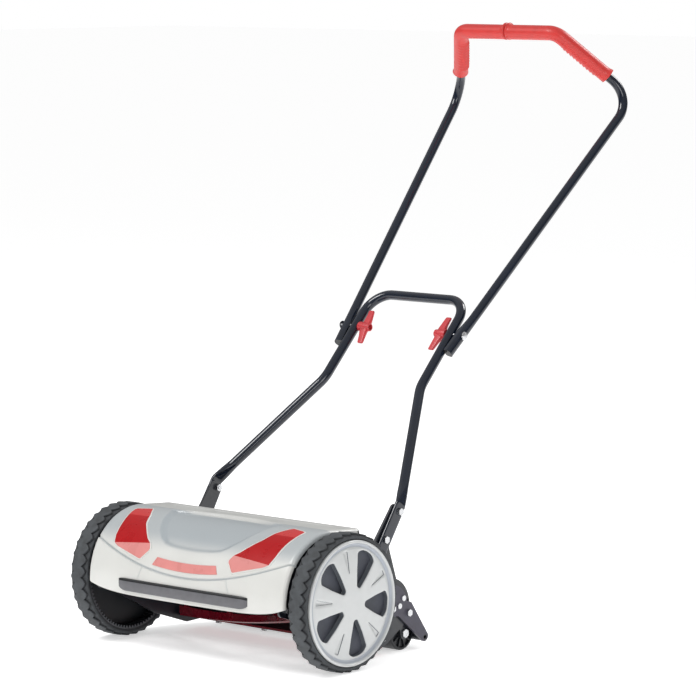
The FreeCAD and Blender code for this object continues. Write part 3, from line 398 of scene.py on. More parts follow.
def smooth_step(value, low, high):
    """0 below low, 1 above high, and a smooth rise between."""
    t = min(1.0, max(0.0, (value - low) / (high - low)))
    return t * t * (3 - 2 * t)


def lathe(profile, y, z, count=96):
    """A closed ring of (x, radius) points turned about a line along x."""
    rings = []
    for i in range(count):
        a = 2 * math.pi * i / count
        rings.append([at(x, y + r * math.cos(a), z + r * math.sin(a)) for x, r in profile])
    return skin(rings, loop=True)


def mirrored_mesh(vertices, faces):
    """The same mesh on the other side of the machine."""
    return [Vector((-v.x, v.y, v.z)) for v in vertices], [tuple(reversed(f)) for f in faces]


def on_side(side, vertices, faces):
    """A right-hand mesh as it is, or its mirror image for the left."""
    return (vertices, faces) if side == "right" else mirrored_mesh(vertices, faces)


def add_painted_shade(piece, values):
    """Say for each vertex how much painted shade it takes: its share of a finish's second colour."""
    tones = piece.data.attributes.new("painted_shade", "FLOAT", "POINT")
    tones.data.foreach_set("value", np.array(values, np.float32))


def rounded_outline(corners, radii, step=1.5):
    """A closed 2-D outline with rounded corners."""
    outline = []
    count = len(corners)
    for i, (corner, radius) in enumerate(zip(corners, radii)):
        here = Vector(corner)
        edge_before = here - Vector(corners[i - 1])
        edge_after = Vector(corners[(i + 1) % count]) - here
        before, after = edge_before.normalized(), edge_after.normalized()
        turn = before.angle_signed(after)
        longest = 0.48 * min(edge_before.length, edge_after.length)
        reach = min(abs(radius * math.tan(turn / 2)), longest)
        steps = max(2, round(abs(radius * turn) / step))
        start, end = here - before * reach, here + after * reach
        for k in range(steps + 1):
            t = k / steps
            outline.append((1 - t) ** 2 * start + 2 * t * (1 - t) * here + t * t * end)
    return outline


def evenly(outline, step):
    """The outline with points added, so that none is further than step from the next."""
    points = []
    for i, start in enumerate(outline):
        end = outline[(i + 1) % len(outline)]
        count = max(1, math.ceil((end - start).length / step))
        points += [start.lerp(end, k / count) for k in range(count)]
    return points


def offset_outline(outline, distance):
    """A closed outline moved inwards (anticlockwise outlines, positive distance)."""
    moved = []
    count = len(outline)
    for i, point in enumerate(outline):
        along = (outline[(i + 1) % count] - outline[i - 1]).normalized()
        moved.append(point + Vector((-along.y, along.x)) * distance)
    return moved


def anticlockwise(outline):
    """The outline, turned round if it runs clockwise."""
    area = sum(a.x * b.y - b.x * a.y for a, b in zip(outline, outline[1:] + outline[:1]))
    return outline if area > 0 else outline[::-1]


def inside(point, outline):
    """Whether a point lies inside a closed outline."""
    hit = False
    for a, b in zip(outline, outline[1:] + outline[:1]):
        if (a.y > point.y) != (b.y > point.y):
            if point.x < (b.x - a.x) * (point.y - a.y) / (b.y - a.y) + a.x:
                hit = not hit
    return hit


def filled(outer, holes=(), extra=(), grid=4.0):
    """Triangles inside an outline and outside its holes, about grid mm in size.

    extra: straight lines, each from one point to another, that edges have to follow.
    Returns the points and the triangles; the outlines' own points come first.
    """
    points, edges = [], []
    for loop in (outer, *holes):
        start = len(points)
        points += [Vector(p) for p in loop]
        edges += [(start + i, start + (i + 1) % len(loop)) for i in range(len(loop))]
    for a, b in extra:
        start = len(points)
        a, b = Vector(a), Vector(b)
        count = max(1, round((b - a).length / grid))
        points += [a.lerp(b, k / count) for k in range(count + 1)]
        edges += [(start + k, start + k + 1) for k in range(count)]
    low_x, high_x = min(p.x for p in outer), max(p.x for p in outer)
    low_y, high_y = min(p.y for p in outer), max(p.y for p in outer)
    near = np.array([tuple(p) for p in points])
    y = low_y + grid / 2
    while y < high_y:
        x = low_x + grid / 2
        while x < high_x:
            point = Vector((x, y))
            clear = np.min(np.hypot(near[:, 0] - x, near[:, 1] - y)) > grid * 0.55
            if clear and inside(point, outer) and not any(inside(point, h) for h in holes):
                points.append(point)
            x += grid
        y += grid
    result = delaunay_2d_cdt(points, edges, [], 0, 1e-5)
    places, triangles = result[0], result[2]
    kept = []
    for triangle in triangles:
        middle = sum((places[i] for i in triangle), Vector((0, 0))) / len(triangle)
        if inside(middle, outer) and not any(inside(middle, h) for h in holes):
            kept.append(tuple(triangle))
    return places, kept


# ---------------------------------------------------------------- shroud

SHROUD_HALF = 207.0
SHROUD_RADIUS = 106.0
SHROUD_BULGE = 4.0
SHROUD_TOP = 212.0
SHROUD_BACK = 66.0
SHROUD_FALL = 4.5
SHROUD_WALL = 3.0
LOWER_EDGE = 90.5
LOWER_EDGE_RISE = 13.0
LIP_ROUND = 3.0
LIP_DEPTH = 4.0
# Outline of the sunken middle panel, right half: x and the distance s along the
# shroud's skin, which is 0 on top over the axle and negative towards the front.
PANEL = [(133, 20), (124, 2), (115, -15), (101, -50), (88, -72), (73, -88), (60, -97), (45, -100.5),
         (20, -102.5), (0, -103)]
WINDOW = [(150, -19), (180, -26), (178, -41), (173, -65), (169, -91), (164, -105), (154, -110),
          (98, -125), (83, -108), (89, -98), (99, -91), (110, -79), (125, -62), (134, -42)]
WINDOW_ROUNDS = [3, 5, 20, 30, 12, 5, 4, 4, 5, 12, 20, 20, 30, 20]
WINDOW_UPPER = -45.5
STRIP_HALF = 69.0
OUTLINE_STEP = 3.0
END_ROUND = 8.0
END_COLUMNS = 9.0
CREASE_STEP = 1.3
CREASE_GROOVE = 1.7
PANEL_DEPTH = 4.2
PANEL_SLOPE = 10.0
SEAM_GROOVE = 0.9
BACK_GROOVE = 0.8
BACK_GROOVE_AT = 46.0
NICK = [(89, -136), (96, -153)]
NICK_DEPTH = 1.3


def crease(x):
    """Where the crease across the front lies."""
    return -144.5 + 0.0011 * x * x


def lower_edge(x):
    """Where the shroud's skin ends at the bottom."""
    height = LOWER_EDGE + LOWER_EDGE_RISE * (abs(x) / SHROUD_HALF) ** 6
    return -SHROUD_RADIUS * (math.pi / 2 - math.asin((height - AXLE_Z) / SHROUD_RADIUS))


def shroud_skin(x, s, lift=0.0):
    """A point on the shroud's skin, or lift mm above it."""
    if s <= 0:
        angle = math.pi / 2 + s / SHROUD_RADIUS
        share = 1 - min(1.0, abs(x) / SHROUD_HALF) ** 2
        reach = SHROUD_RADIUS + SHROUD_BULGE * share * math.cos(angle) + lift
        return at(x, -reach * math.cos(angle), AXLE_Z + reach * math.sin(angle))
    if s <= SHROUD_BACK:
        return at(x, s, SHROUD_TOP - SHROUD_FALL * s / SHROUD_BACK + lift)
    turn = min(math.pi / 2, (s - SHROUD_BACK) / LIP_ROUND)
    reach = LIP_ROUND + lift
    down = max(0.0, s - SHROUD_BACK - LIP_ROUND * math.pi / 2)
    base = SHROUD_TOP - SHROUD_FALL - LIP_ROUND
    return at(x, SHROUD_BACK + reach * math.sin(turn), base + reach * math.cos(turn) - down)


def distance_to_line(points, line):
    """Distances of many points from a polyline, all as numpy arrays."""
    best = np.full(len(points), 1e9)
    for a, b in zip(line[:-1], line[1:]):
        a, b = np.array(a, float), np.array(b, float)
        along = b - a
        t = np.clip((points - a) @ along / (along @ along), 0, 1)
        best = np.minimum(best, np.hypot(*(points - a - t[:, None] * along).T))
    return best


def shroud_relief(places):
    """Height of the moulded detail, and the share of painted shade, at many (x, s) places."""
    x, s = np.abs(places[:, 0]), places[:, 1]
    folded = np.stack([x, s], 1)
    lift = np.zeros(len(places))
    end = np.clip((x - (SHROUD_HALF - END_ROUND)) / END_ROUND, 0, 1)
    lift -= 5 * (1 - np.sqrt(1 - end ** 2 * 0.999))
    below = s - crease(x)
    lift += CREASE_STEP * np.exp(np.minimum(below, 0) / 26) * (below < 0)
    lift -= CREASE_GROOVE * np.exp(-((below - 1.2) / 1.5) ** 2)
    panel = np.array(PANEL, float)
    panel_edge = np.interp(-s, -panel[:, 1], panel[:, 0])
    inner = (x < panel_edge) & (s > panel[-1][1])
    depth = distance_to_line(folded, PANEL) * inner
    sunk = np.clip(depth / PANEL_SLOPE, 0, 1)
    sunk = sunk * sunk * (3 - 2 * sunk)
    seam = 14 - 0.0016 * x * x
    open_end = np.clip((seam - s) / 3, 0, 1)
    lift -= PANEL_DEPTH * sunk * open_end
    # A band along the sunken panel's sloping edge, used only for painted shade.
    panel_wall_shade = np.exp(-((depth - 5) / 3.6) ** 2) * inner * open_end
    lift -= SEAM_GROOVE * np.exp(-((s - seam - 2) / 1.1) ** 2) * (x < 150)
    lift -= BACK_GROOVE * np.exp(-((s - BACK_GROOVE_AT) / 1.0) ** 2) * (x < 170)
    nick = np.exp(-(distance_to_line(folded, NICK) / 1.2) ** 2)
    lift -= NICK_DEPTH * nick
    # Painted shade: the upper front is greyed where it reflects the darker part of the studio, and a little
    # of that stays over the top. The sunken panel, its sloping edge, the nick and the crease's channel are
    # darkened as their shade.
    upper = np.clip((s + 112) / 38, 0, 1) * np.clip((10 - s) / 14, 0, 1)
    painted_shade = 0.8 * upper * upper * (3 - 2 * upper)
    painted_shade += 0.15 * sunk * open_end + 0.5 * panel_wall_shade
    painted_shade = np.where(below < 0, 0.45 * nick, painted_shade)
    painted_shade = np.maximum(painted_shade, 0.85 * np.exp(-((below - 1.2) / 1.7) ** 2))
    painted_shade = np.where(s > 0, np.maximum(painted_shade * 0.6, 0.12), painted_shade)
    return lift, painted_shade


def shroud_rows(x):
    """Places along the skin for one column, with rows that follow the crease."""
    fold = crease(x)
    base = lower_edge(x)
    top = SHROUD_BACK + LIP_ROUND * math.pi / 2 + LIP_DEPTH
    rows = list(np.linspace(base, fold - 4, 18)[:-1])
    rows += list(np.linspace(fold - 4, fold + 5, 10)[:-1])
    rows += list(np.linspace(fold + 5, 8, 92)[:-1])
    rows += list(np.linspace(8, 20, 11)[:-1])
    rows += list(np.linspace(20, 42, 8)[:-1])
    rows += list(np.linspace(42, 50, 9)[:-1])
    rows += list(np.linspace(50, top, 14))
    return rows


def make_shroud(paint):
    """The thin moulded cover over the reel."""
    flat_half = SHROUD_HALF - END_COLUMNS
    columns = list(np.linspace(-SHROUD_HALF, -flat_half, 7)[:-1])
    columns += list(np.linspace(-flat_half, flat_half, 231))
    columns += list(np.linspace(flat_half, SHROUD_HALF, 7)[1:])
    places = np.array([(x, s) for x in columns for s in shroud_rows(x)])
    lift, painted_shade = shroud_relief(places)
    rows = len(places) // len(columns)
    outer = [shroud_skin(x, s, h) for (x, s), h in zip(places, lift)]
    inner = []
    for number, ((x, s), h) in enumerate(zip(places, lift)):
        rim = number % rows in (0, rows - 1)
        inner.append(shroud_skin(x, s, h - (SHROUD_WALL - (0.6 if rim else 0))))
    shift = len(outer)
    faces = []
    for c in range(len(columns) - 1):
        for r in range(rows - 1):
            a = c * rows + r
            faces.append((a, a + 1, a + rows + 1, a + rows))
            faces.append((shift + a, shift + a + rows, shift + a + rows + 1, shift + a + 1))
        for r in (0, rows - 1):
            a = c * rows + r
            faces.append((a, a + rows, shift + a + rows, shift + a))
    for c in (0, len(columns) - 1):
        for r in range(rows - 1):
            a = c * rows + r
            faces.append((a, a + 1, shift + a + 1, shift + a))
    piece = new_piece("shroud_shell", outer + inner, faces, [paint["shroud"]], "frame", "shroud",
                      replaces=["shroud"], smooth=50)
    # Painted shade, the same on the outer and the inner skin.
    add_painted_shade(piece, np.concatenate([painted_shade, painted_shade]))


def inlay(name, outline, splits, finishes, pick, slot, sink=0.35, proud=0.7, mirror=False):
    """A thin coloured insert that follows the shroud's skin.

    pick(s, x) says which of the finishes a place shows. The last finish is the edge's.
    """
    side = -1 if mirror else 1
    outline = evenly(anticlockwise(outline), OUTLINE_STEP)
    places, triangles = filled(outline, extra=splits, grid=4.5)
    table = np.array([(p.x, p.y) for p in places])
    lift, _ = shroud_relief(table)
    edge = len(outline)
    top = [shroud_skin(side * p.x, p.y, h + proud) for p, h in zip(places, lift)]
    skirt = [shroud_skin(side * p.x, p.y, h - sink) for p, h in zip(outline, lift[:edge])]
    faces = [tuple(t) for t in triangles]
    kinds = [pick(sum(places[i].y for i in t) / 3, sum(places[i].x for i in t) / 3) for t in triangles]
    first = len(top)
    for i in range(edge):
        j = (i + 1) % edge
        faces.append((i, j, first + j, first + i))
        kinds.append(len(finishes) - 1)
    faces.append(tuple(range(first, first + edge)))
    kinds.append(len(finishes) - 1)
    piece = new_piece(name, top + skirt, faces, finishes, "frame", slot, smooth=40)
    piece.data.polygons.foreach_set("material_index", kinds)


def frame_strip(name, outline, width, finishes, proud=1.0, mirror=False):
    """A narrow raised border round an insert."""
    side = -1 if mirror else 1
    inner = evenly(anticlockwise(outline), OUTLINE_STEP)
    outer = offset_outline(inner, -width)
    rows = []
    middle = offset_outline(inner, -width * 0.5)
    for loop, rise in ((inner, -0.3), (inner, proud), (middle, proud + 0.25),
                       (outer, proud * 0.45), (outer, -0.3)):
        lift, _ = shroud_relief(np.array([(p.x, p.y) for p in loop]))
        rows.append([shroud_skin(side * p.x, p.y, h + rise) for p, h in zip(loop, lift)])
    rings = [list(ring) for ring in zip(*rows)]
    vertices, faces = skin(rings, loop=True)
    piece = new_piece(name, vertices, faces, finishes, "frame", "shroud", smooth=60)
    add_painted_shade(piece, np.zeros(len(vertices)))


def painted_reflection_line(x):
    """Where the painted reflection on a window's lower part begins."""
    return -98 - 6 * (x - 92) / 68


def window_tone(s, x):
    """Which finish a window shows: 1 above, 0 in the middle, 2 below, which is the painted reflection."""
    if s > WINDOW_UPPER:
        return 1
    return 2 if s < painted_reflection_line(x) else 0


def make_windows(paint):
    """Two red windows and the strip on the shroud's front, with painted reflection in pale pink on the
    windows' lower parts and over the whole strip.
    """
    outline = rounded_outline(WINDOW, WINDOW_ROUNDS)
    tones = [paint["window_red"], paint["window_coral"], paint["window_painted_reflection"], paint["window_red"]]
    splits = [((88.5, painted_reflection_line(88.5)), (165.5, painted_reflection_line(165.5))),
              ((134, WINDOW_UPPER), (176.5, WINDOW_UPPER))]
    for side, mirror in (("right", False), ("left", True)):
        inlay(f"window_{side}", outline, splits, tones, window_tone, "shroud", mirror=mirror)
        frame_strip(f"window_border_{side}", outline, 2.2, [paint["shroud"]], mirror=mirror)
    xs = np.linspace(-STRIP_HALF + 7, STRIP_HALF - 7, 24)
    upper = [Vector((x, -118 - 3.5 * (1 - (x / 62) ** 2))) for x in xs]
    xs = np.linspace(-STRIP_HALF, STRIP_HALF, 24)
    lower = [Vector((x, -130.5 - 4.5 * (1 - (x / 70) ** 2))) for x in xs]
    strip = upper[::-1] + lower
    # The whole strip is laid in the pale pink of painted reflection.
    inlay("front_strip", strip, [], [paint["window_painted_reflection"]], lambda s, x: 0, "shroud")


BUMPER_HALF = 137.0
BUMPER_LOW = 96.5
BUMPER_HIGH = 115.5
BUMPER_PROUD = 4.6
BUMPER_TAPER_AT = 119
BUMPER_SINK = 2.5


def make_bumper(paint):
    """The dark bar across the front, with bevelled ends; its top faces and both end faces carry painted
    shadow in black.
    """
    rings = []
    columns = np.concatenate([np.linspace(-BUMPER_HALF, -118, 10), np.linspace(-112, 112, 41),
                              np.linspace(118, BUMPER_HALF, 10)])
    for x in columns:
        end = min(1.0, max(0.0, (abs(x) - BUMPER_TAPER_AT) / (BUMPER_HALF - BUMPER_TAPER_AT)))
        proud = BUMPER_PROUD * (1 - 0.55 * end ** 1.5) - 1.6 * max(0.0, (abs(x) - 133) / 4) ** 2
        low = BUMPER_LOW + 5.5 * end ** 2.2
        high = BUMPER_HIGH - 1.5 * end ** 3
        share = 1 - (x / SHROUD_HALF) ** 2
        face = SHROUD_RADIUS + SHROUD_BULGE * share
        profile = [(-BUMPER_SINK, high + 0.6), (proud * 0.55, high + 0.6), (proud * 0.8, high - 0.4),
                   (proud, high - 3.0), (proud + 0.3, (low + high) / 2), (proud, low + 3.0),
                   (proud * 0.75, low + 0.9), (proud * 0.3, low), (-BUMPER_SINK, low)]
        rings.append([at(x, -(face + p), z) for p, z in profile])
    vertices, faces = skin(rings)
    # Painted shadow: the top faces and both ends take the near-black finish, standing for the shadow line
    # above the bar and at its ends.
    painted_shadow_faces = [1] * 3 + [0] * (len(rings[0]) - 3)
    kinds = painted_shadow_faces * (len(rings) - 1) + [1, 1]
    piece = new_piece("bumper_shell", vertices, faces, [paint["bumper"], paint["shadow"]], "frame",
                      "bumper", replaces=["bumper_bar"], smooth=40)
    piece.data.polygons.foreach_set("material_index", kinds)


# ---------------------------------------------------------------- wheels

CAP_RADIUS = 95.9
CAP_FACE = 255.0
DISC_RADIUS = 85.2
DISC_DOME = 690.0
WINDOW_TURN = math.radians(-7.6)
WELL_DEPTH = 9.0
CAP_WINDOWS = 5
CAP_STEPS = 180
MARK_DEPTH = 1.3


def cap_face(radius):
    """How far out the hub cap's dome lies at a radius."""
    return CAP_FACE - radius * radius / (2 * DISC_DOME)


def turned_outline(points, angle):
    """A 2-D outline turned about the origin."""
    turn = Matrix.Rotation(angle, 2)
    return [turn @ Vector(p) for p in points]


def cap_window():
    """One rounded three-cornered window of the hub cap, pointing along +x."""
    corners = [(24.5, -4.5), (50, -14.2), (74.5, -21.5), (82.5, -12.5), (84, 0), (82.5, 12.5), (74.5, 21.5),
               (50, 14.2), (24.5, 4.5)]
    radii = [7, 60, 6, 20, 60, 20, 6, 60, 7]
    return evenly(anticlockwise(rounded_outline(corners, radii, 1.2)), 2.5)


def cap_mark():
    """One of the shallow wedges between the windows, pointing along +x."""
    corners = [(47.5, -0.5), (80.5, -4.4), (81.5, 0), (80.5, 4.4), (47.5, 0.5)]
    return evenly(anticlockwise(rounded_outline(corners, [0.5, 1.2, 30, 1.2, 0.5], 0.7)), 3.0)


def on_cap(point, depth=0.0):
    """A point of the hub cap's face, or depth mm below it."""
    return at(cap_face(point.length) - depth, point.x, AXLE_Z + point.y)


def walls(loops):
    """Bands of faces between outlines of equal length that lie at given depths."""
    rows = [[on_cap(p, depth) for p in loop] for loop, depth in loops]
    return skin(rows, caps=False)


def make_hub_caps(paint):
    """Silver covers with five windows, a raised rim and wedge marks."""
    rim = [Vector((DISC_RADIUS * math.cos(a), DISC_RADIUS * math.sin(a)))
           for a in np.linspace(0, 2 * math.pi, CAP_STEPS + 1)[:-1]]
    windows, marks = [], []
    for k in range(CAP_WINDOWS):
        turn = WINDOW_TURN + math.radians(72 * k)
        windows.append(turned_outline(cap_window(), turn))
        marks.append(turned_outline(cap_mark(), turn + math.radians(36)))
    face_points, face_triangles = filled(rim, windows + marks, grid=4.0)
    silver = [([on_cap(p) for p in face_points], face_triangles)]
    # The window walls below their rounded top edge, and the walls of the wedge marks, take the darker grey
    # finish as painted shade in these recesses.
    dark = []
    for window in windows:
        soft = [(window, 0.0), (offset_outline(window, 0.35), 0.12), (offset_outline(window, 0.8), 0.5),
                (offset_outline(window, 1.0), 1.2)]
        silver.append(walls(soft))
        deep = [(offset_outline(window, 1.0), 1.2), (offset_outline(window, 1.35), WELL_DEPTH - 0.9),
                (offset_outline(window, 1.8), WELL_DEPTH - 0.5)]
        dark.append(walls(deep))
    for mark in marks:
        sunk = offset_outline(mark, 0.35)
        dark.append(walls([(mark, 0.0), (offset_outline(mark, 0.12), 0.15), (sunk, MARK_DEPTH)]))
        points, triangles = filled(sunk, grid=3.0)
        silver.append(([on_cap(p, MARK_DEPTH) for p in points], triangles))
    edge = cap_face(DISC_RADIUS)
    ring = [(edge, DISC_RADIUS), (edge - 0.9, 86.2), (edge - 0.9, 88.2), (edge + 0.4, 90.2),
            (edge + 3.0, 91.4), (253.6, 92.2), (253.9, 93.4), (253.4, 94.8), (252.2, 95.7),
            (249.0, CAP_RADIUS), (248.1, CAP_RADIUS - 0.4), (248.1, 92.6)]
    back = [(247.2, 88.5), (246.9, DISC_RADIUS)]
    rings = []
    for i in range(CAP_STEPS):
        a = 2 * math.pi * i / CAP_STEPS
        rings.append([at(x, r * math.cos(a), AXLE_Z + r * math.sin(a)) for x, r in ring + back])
    count = len(rings[0])
    band_vertices = [v for r in rings for v in r]
    band_faces = []
    for i in range(CAP_STEPS):
        j = (i + 1) % CAP_STEPS
        for k in range(count - 1):
            band_faces.append((i * count + k, j * count + k, j * count + k + 1, i * count + k + 1))
    silver.append((band_vertices, band_faces))
    silver_vertices, silver_faces = joined(*silver)
    dark_vertices, dark_faces = joined(*dark)
    vertices, faces = joined((silver_vertices, silver_faces), (dark_vertices, dark_faces))
    kinds = [0] * len(silver_faces) + [1] * len(dark_faces)
    floor_vertices, floor_faces = lathe([(242.0, 24.5), (242.0, 93.0), (242.6, 93.0), (242.6, 24.5)],
                                        0, AXLE_Z, 72)
    boss_vertices, boss_faces = lathe([(243.2, 9.0), (243.2, 24.0), (247.6, 25.4), (248.4, 24.4),
                                       (248.4, 9.0)], 0, AXLE_Z, 72)
    for side in ("right", "left"):
        body = f"{side}_wheel"
        cap = new_piece(f"hub_cap_shell_{side}", *on_side(side, vertices, faces),
                        [paint["hub_cap"], paint["hub_wall_shade"]], body, "hub_cap",
                        replaces=[f"hub_cap_{side}"], smooth=32)
        cap.data.polygons.foreach_set("material_index", kinds)
        work = bmesh.new()
        work.from_mesh(cap.data)
        bmesh.ops.remove_doubles(work, verts=work.verts, dist=2e-6)
        bmesh.ops.recalc_face_normals(work, faces=work.faces)
        work.to_mesh(cap.data)
        work.free()
        # Painted shade in the recessed ring round the domed disc.
        groove_shade = []
        for vertex in cap.data.vertices:
            r = math.hypot(vertex.co.y / MM - AXLE_Y, vertex.co.z / MM - AXLE_Z)
            groove_shade.append(0.85 if DISC_RADIUS + 0.4 < r < 91 else 0.0)
        add_painted_shade(cap, groove_shade)
        new_piece(f"hub_floor_{side}", *on_side(side, floor_vertices, floor_faces),
                  [paint["hub_floor"]], body, "rim")
        new_piece(f"hub_boss_{side}", *on_side(side, boss_vertices, boss_faces),
                  [paint["nylon"]], body, "rim")


TYRE_MIDDLE = 232.25
TYRE_HALF = 17.75
TYRE_RADIUS = 106.0
TREAD_DEPTH = 3.2
TREAD_LUGS = 36
TREAD_COLUMNS = 16


def tread_edge(t):
    """Half width of the raised tread band, t being the place within one lug."""
    narrowest_at = 0.62
    wide, narrow = 15.2, 6.2
    if t < narrowest_at:
        return wide - (wide - narrow) * (t / narrowest_at) ** 1.7
    return narrow + (wide - narrow) * ((t - narrowest_at) / (1 - narrowest_at)) ** 0.55


def make_tyres(paint):
    """Rubber tyres with scalloped lugs along both edges."""
    total = TREAD_LUGS * TREAD_COLUMNS
    rings, tones = [], []
    for i in range(total):
        angle = 2 * math.pi * i / total
        t = (i % TREAD_COLUMNS) / TREAD_COLUMNS
        other = ((i + TREAD_COLUMNS // 2) % TREAD_COLUMNS) / TREAD_COLUMNS
        ring, painted_shade = [], []
        for side, share in ((1, t), (-1, other)):
            edge = tread_edge(share)
            low = TYRE_RADIUS - TREAD_DEPTH
            shoulder = low - 1.0 - 0.10 * max(0.0, TYRE_HALF - edge)
            # The third number of each point is its share of painted shade: strongest on the lug steps and
            # in the recess beside them, less over the shoulder and sidewall.
            half = [
                (0.0, TYRE_RADIUS, 0.0), (edge * 0.5, TYRE_RADIUS - 0.05, 0.0),
                (edge - 1.1, TYRE_RADIUS - 0.35, 0.0), (edge - 0.25, TYRE_RADIUS - 0.8, 0.25),
                (edge + 0.35, low - 0.1, 1.0), (edge + 1.6, low - 0.25, 1.0),
                (edge + 2.4, low - 0.3, 0.6), ((edge + 17.0) / 2 + 0.9, (low + shoulder) / 2, 0.4),
                (TYRE_HALF - 0.5, shoulder, 0.35), (TYRE_HALF, shoulder - 1.2, 0.2), (TYRE_HALF, 99.0, 0.1),
                (TYRE_HALF - 0.2, 97.3, 0.55),
            ]
            half = [(min(a, TYRE_HALF), r, c) for a, r, c in half]
            if side > 0:
                ring += [(TYRE_MIDDLE + a, r) for a, r, _ in half]
                painted_shade += [c for _, _, c in half]
            else:
                ring += [(TYRE_MIDDLE - a, r) for a, r, _ in reversed(half[1:])]
                painted_shade += [c for _, _, c in reversed(half[1:])]
        rings.append([at(x, r * math.cos(angle), AXLE_Z + r * math.sin(angle)) for x, r in ring])
        tones += painted_shade
    vertices, faces = skin(rings, loop=True)
    for side in ("right", "left"):
        piece = new_piece(f"tyre_tread_{side}", *on_side(side, vertices, faces), [paint["tyre"]],
                          f"{side}_wheel", "tyre", replaces=[f"tyre_{side}"], smooth=32)
        add_painted_shade(piece, tones)


# ---------------------------------------------------------------- handle

LOWER_FOOT = (196.8, 124.0, 160.6)
LOWER_KINK = (196.8, 172.0, 232.0)
LOWER_BEND = (101.9, 327.9, 391.4)
LOWER_CORNER = (100.4, 447.9, 519.9)
UPPER_END = (117.6, 378.0, 443.0)
UPPER_BEND = (184.9, 764.5, 838.4)
UPPER_CORNER = (101.6, 665.6, 945.0)
LOWER_TUBE = 8.0
UPPER_TUBE = 7.6
FOOT_HALF = 11.35
FOOT_THICK = 2.5
GRIP_RADIUS = 12.25
GRIP_START = 56.0
SADDLE_DROP = 9.2
RIBS_FROM, RIBS_TO = 14, 92
RIB_PITCH = 7.0
RIB_HEIGHT = 3.4


def centre_of(point):
    """The point of the handle on the machine's middle plane, level with another."""
    return (0.0, point[1], point[2])


def make_lower_handle(paint):
    """Bent tube whose two ends are pressed flat where they are bolted on."""
    path = rounded_path([LOWER_FOOT, LOWER_KINK, LOWER_BEND, LOWER_CORNER, centre_of(LOWER_CORNER)],
                        [14, 60, 39], 3.0)
    flat_end = (Vector(LOWER_KINK) - Vector(LOWER_FOOT)).length

    def section(length):
        t = smooth_step(length, flat_end - 8, flat_end + 40)
        half = FOOT_HALF + (LOWER_TUBE - FOOT_HALF) * t
        deep = FOOT_THICK + (LOWER_TUBE - FOOT_THICK) * t
        end = max(0.0, 1 - length / 7)
        half *= math.sqrt(max(0.05, 1 - 0.6 * end * end))
        power = 2 / (5.5 - 3.5 * t)
        points = []
        for a, b in unit_circle(40):
            points.append((deep * math.copysign(abs(a) ** power, a),
                           half * math.copysign(abs(b) ** power, b)))
        return points

    vertices, faces = skin(swept_rings(path, (1, 0, 0), section))
    faces.pop()  # the end on the middle plane, where the mirror image is joined on
    piece = new_piece("lower_tube", vertices, faces, [paint["tube"]], "frame", "tube",
                      replaces=["lower_handle"], smooth=40)
    with_mirror_image(piece)


def make_upper_handle(paint):
    """Bent tube with saddle-shaped ends that sit on the lower tube."""
    path = rounded_path([UPPER_END, UPPER_BEND, UPPER_CORNER, centre_of(UPPER_CORNER)], [45, 25], 3.0)

    def section(length):
        t = 1 - smooth_step(length, 34, 74)
        points = []
        for a, b in unit_circle(40):
            across = UPPER_TUBE * b * (1 + 0.12 * t)
            depth = UPPER_TUBE * a * (1 - 0.1 * t)
            if a < 0:
                depth = (1 - t) * depth - t * SADDLE_DROP * min(1.0, abs(a) * 1.5)
            points.append((depth, across))
        return points

    vertices, faces = skin(swept_rings(path, (1, 0, 0), section))
    faces.pop()  # the end on the middle plane, where the mirror image is joined on
    piece = new_piece("upper_tube", vertices, faces, [paint["tube"], paint["shadow"]], "folding_handle",
                      "tube", replaces=["upper_handle"], smooth=40)
    # Painted shade: the open end at the fold is given the near-black finish.
    piece.data.polygons[len(faces) - 1].material_index = 1
    with_mirror_image(piece)


def grip_radius(length, total, upward, inward):
    """Radius of a grip at a distance along it.

    upward, inward: how far that side of the grip faces up or towards the other grip.
    """
    radius = GRIP_RADIUS
    flare = max(0.0, 1 - length / 9.0)
    radius += (0.3 + 2.2 * max(0.0, -inward)) * flare ** 1.5
    left = total - length
    radius += math.exp(-((left - 3.0) / 2.3) ** 2) * (0.7 + 2.85 * max(0.0, upward) ** 1.3)
    radius -= 1.6 * max(0.0, 1 - left / 1.4)
    if RIBS_FROM < length < RIBS_TO:
        phase = ((length - RIBS_FROM + 4 * inward) / RIB_PITCH) % 1.0
        tooth = (1 - phase) ** 0.8 if phase > 0.15 else phase / 0.15
        fade = smooth_step(length, RIBS_FROM, 20) * (1 - smooth_step(length, 84, RIBS_TO))
        radius += RIB_HEIGHT * tooth * max(0.0, inward) ** 1.8 * fade
    return radius


def make_grips(paint):
    """Two moulded grips with finger ribs, flared ends and thumb stops."""
    toward = (Vector(UPPER_CORNER) - Vector(UPPER_BEND)).normalized()
    start = Vector(UPPER_BEND) + toward * GRIP_START
    middle = Vector((0.7, UPPER_CORNER[1], UPPER_CORNER[2]))
    path = rounded_path([start, UPPER_CORNER, middle], [25], 0.7)
    first = Vector((1, 0.25, 0.6))
    frames = carried_frames(path, first)
    total = frames[-1][0]
    inside_hand = Vector((-1, 0, -0.3)).normalized()
    count = 56
    outer, inner = [], []
    for point, (length, _, normal, across) in zip(path, frames):
        outer.append([])
        for i in range(count):
            a = 2 * math.pi * i / count
            side = normal * math.cos(a) + across * math.sin(a)
            r = grip_radius(length, total, side.z, side.dot(inside_hand))
            outer[-1].append(at(*(point + side * r)))
    bore = UPPER_TUBE + 0.05
    for point, (_, _, normal, across) in list(zip(path, frames))[::12] + [(path[-1], frames[-1])]:
        ring = []
        for i in range(count):
            a = 2 * math.pi * i / count
            ring.append(at(*(point + normal * (bore * math.cos(a)) + across * (bore * math.sin(a)))))
        inner.append(ring)
    vertices, faces = skin(outer + inner[::-1], loop=True)
    for side in ("right", "left"):
        new_piece(f"grip_sleeve_{side}", *on_side(side, vertices, faces), [paint["grip"]],
                  "folding_handle", "grip", replaces=[f"grip_{side}"], smooth=50)


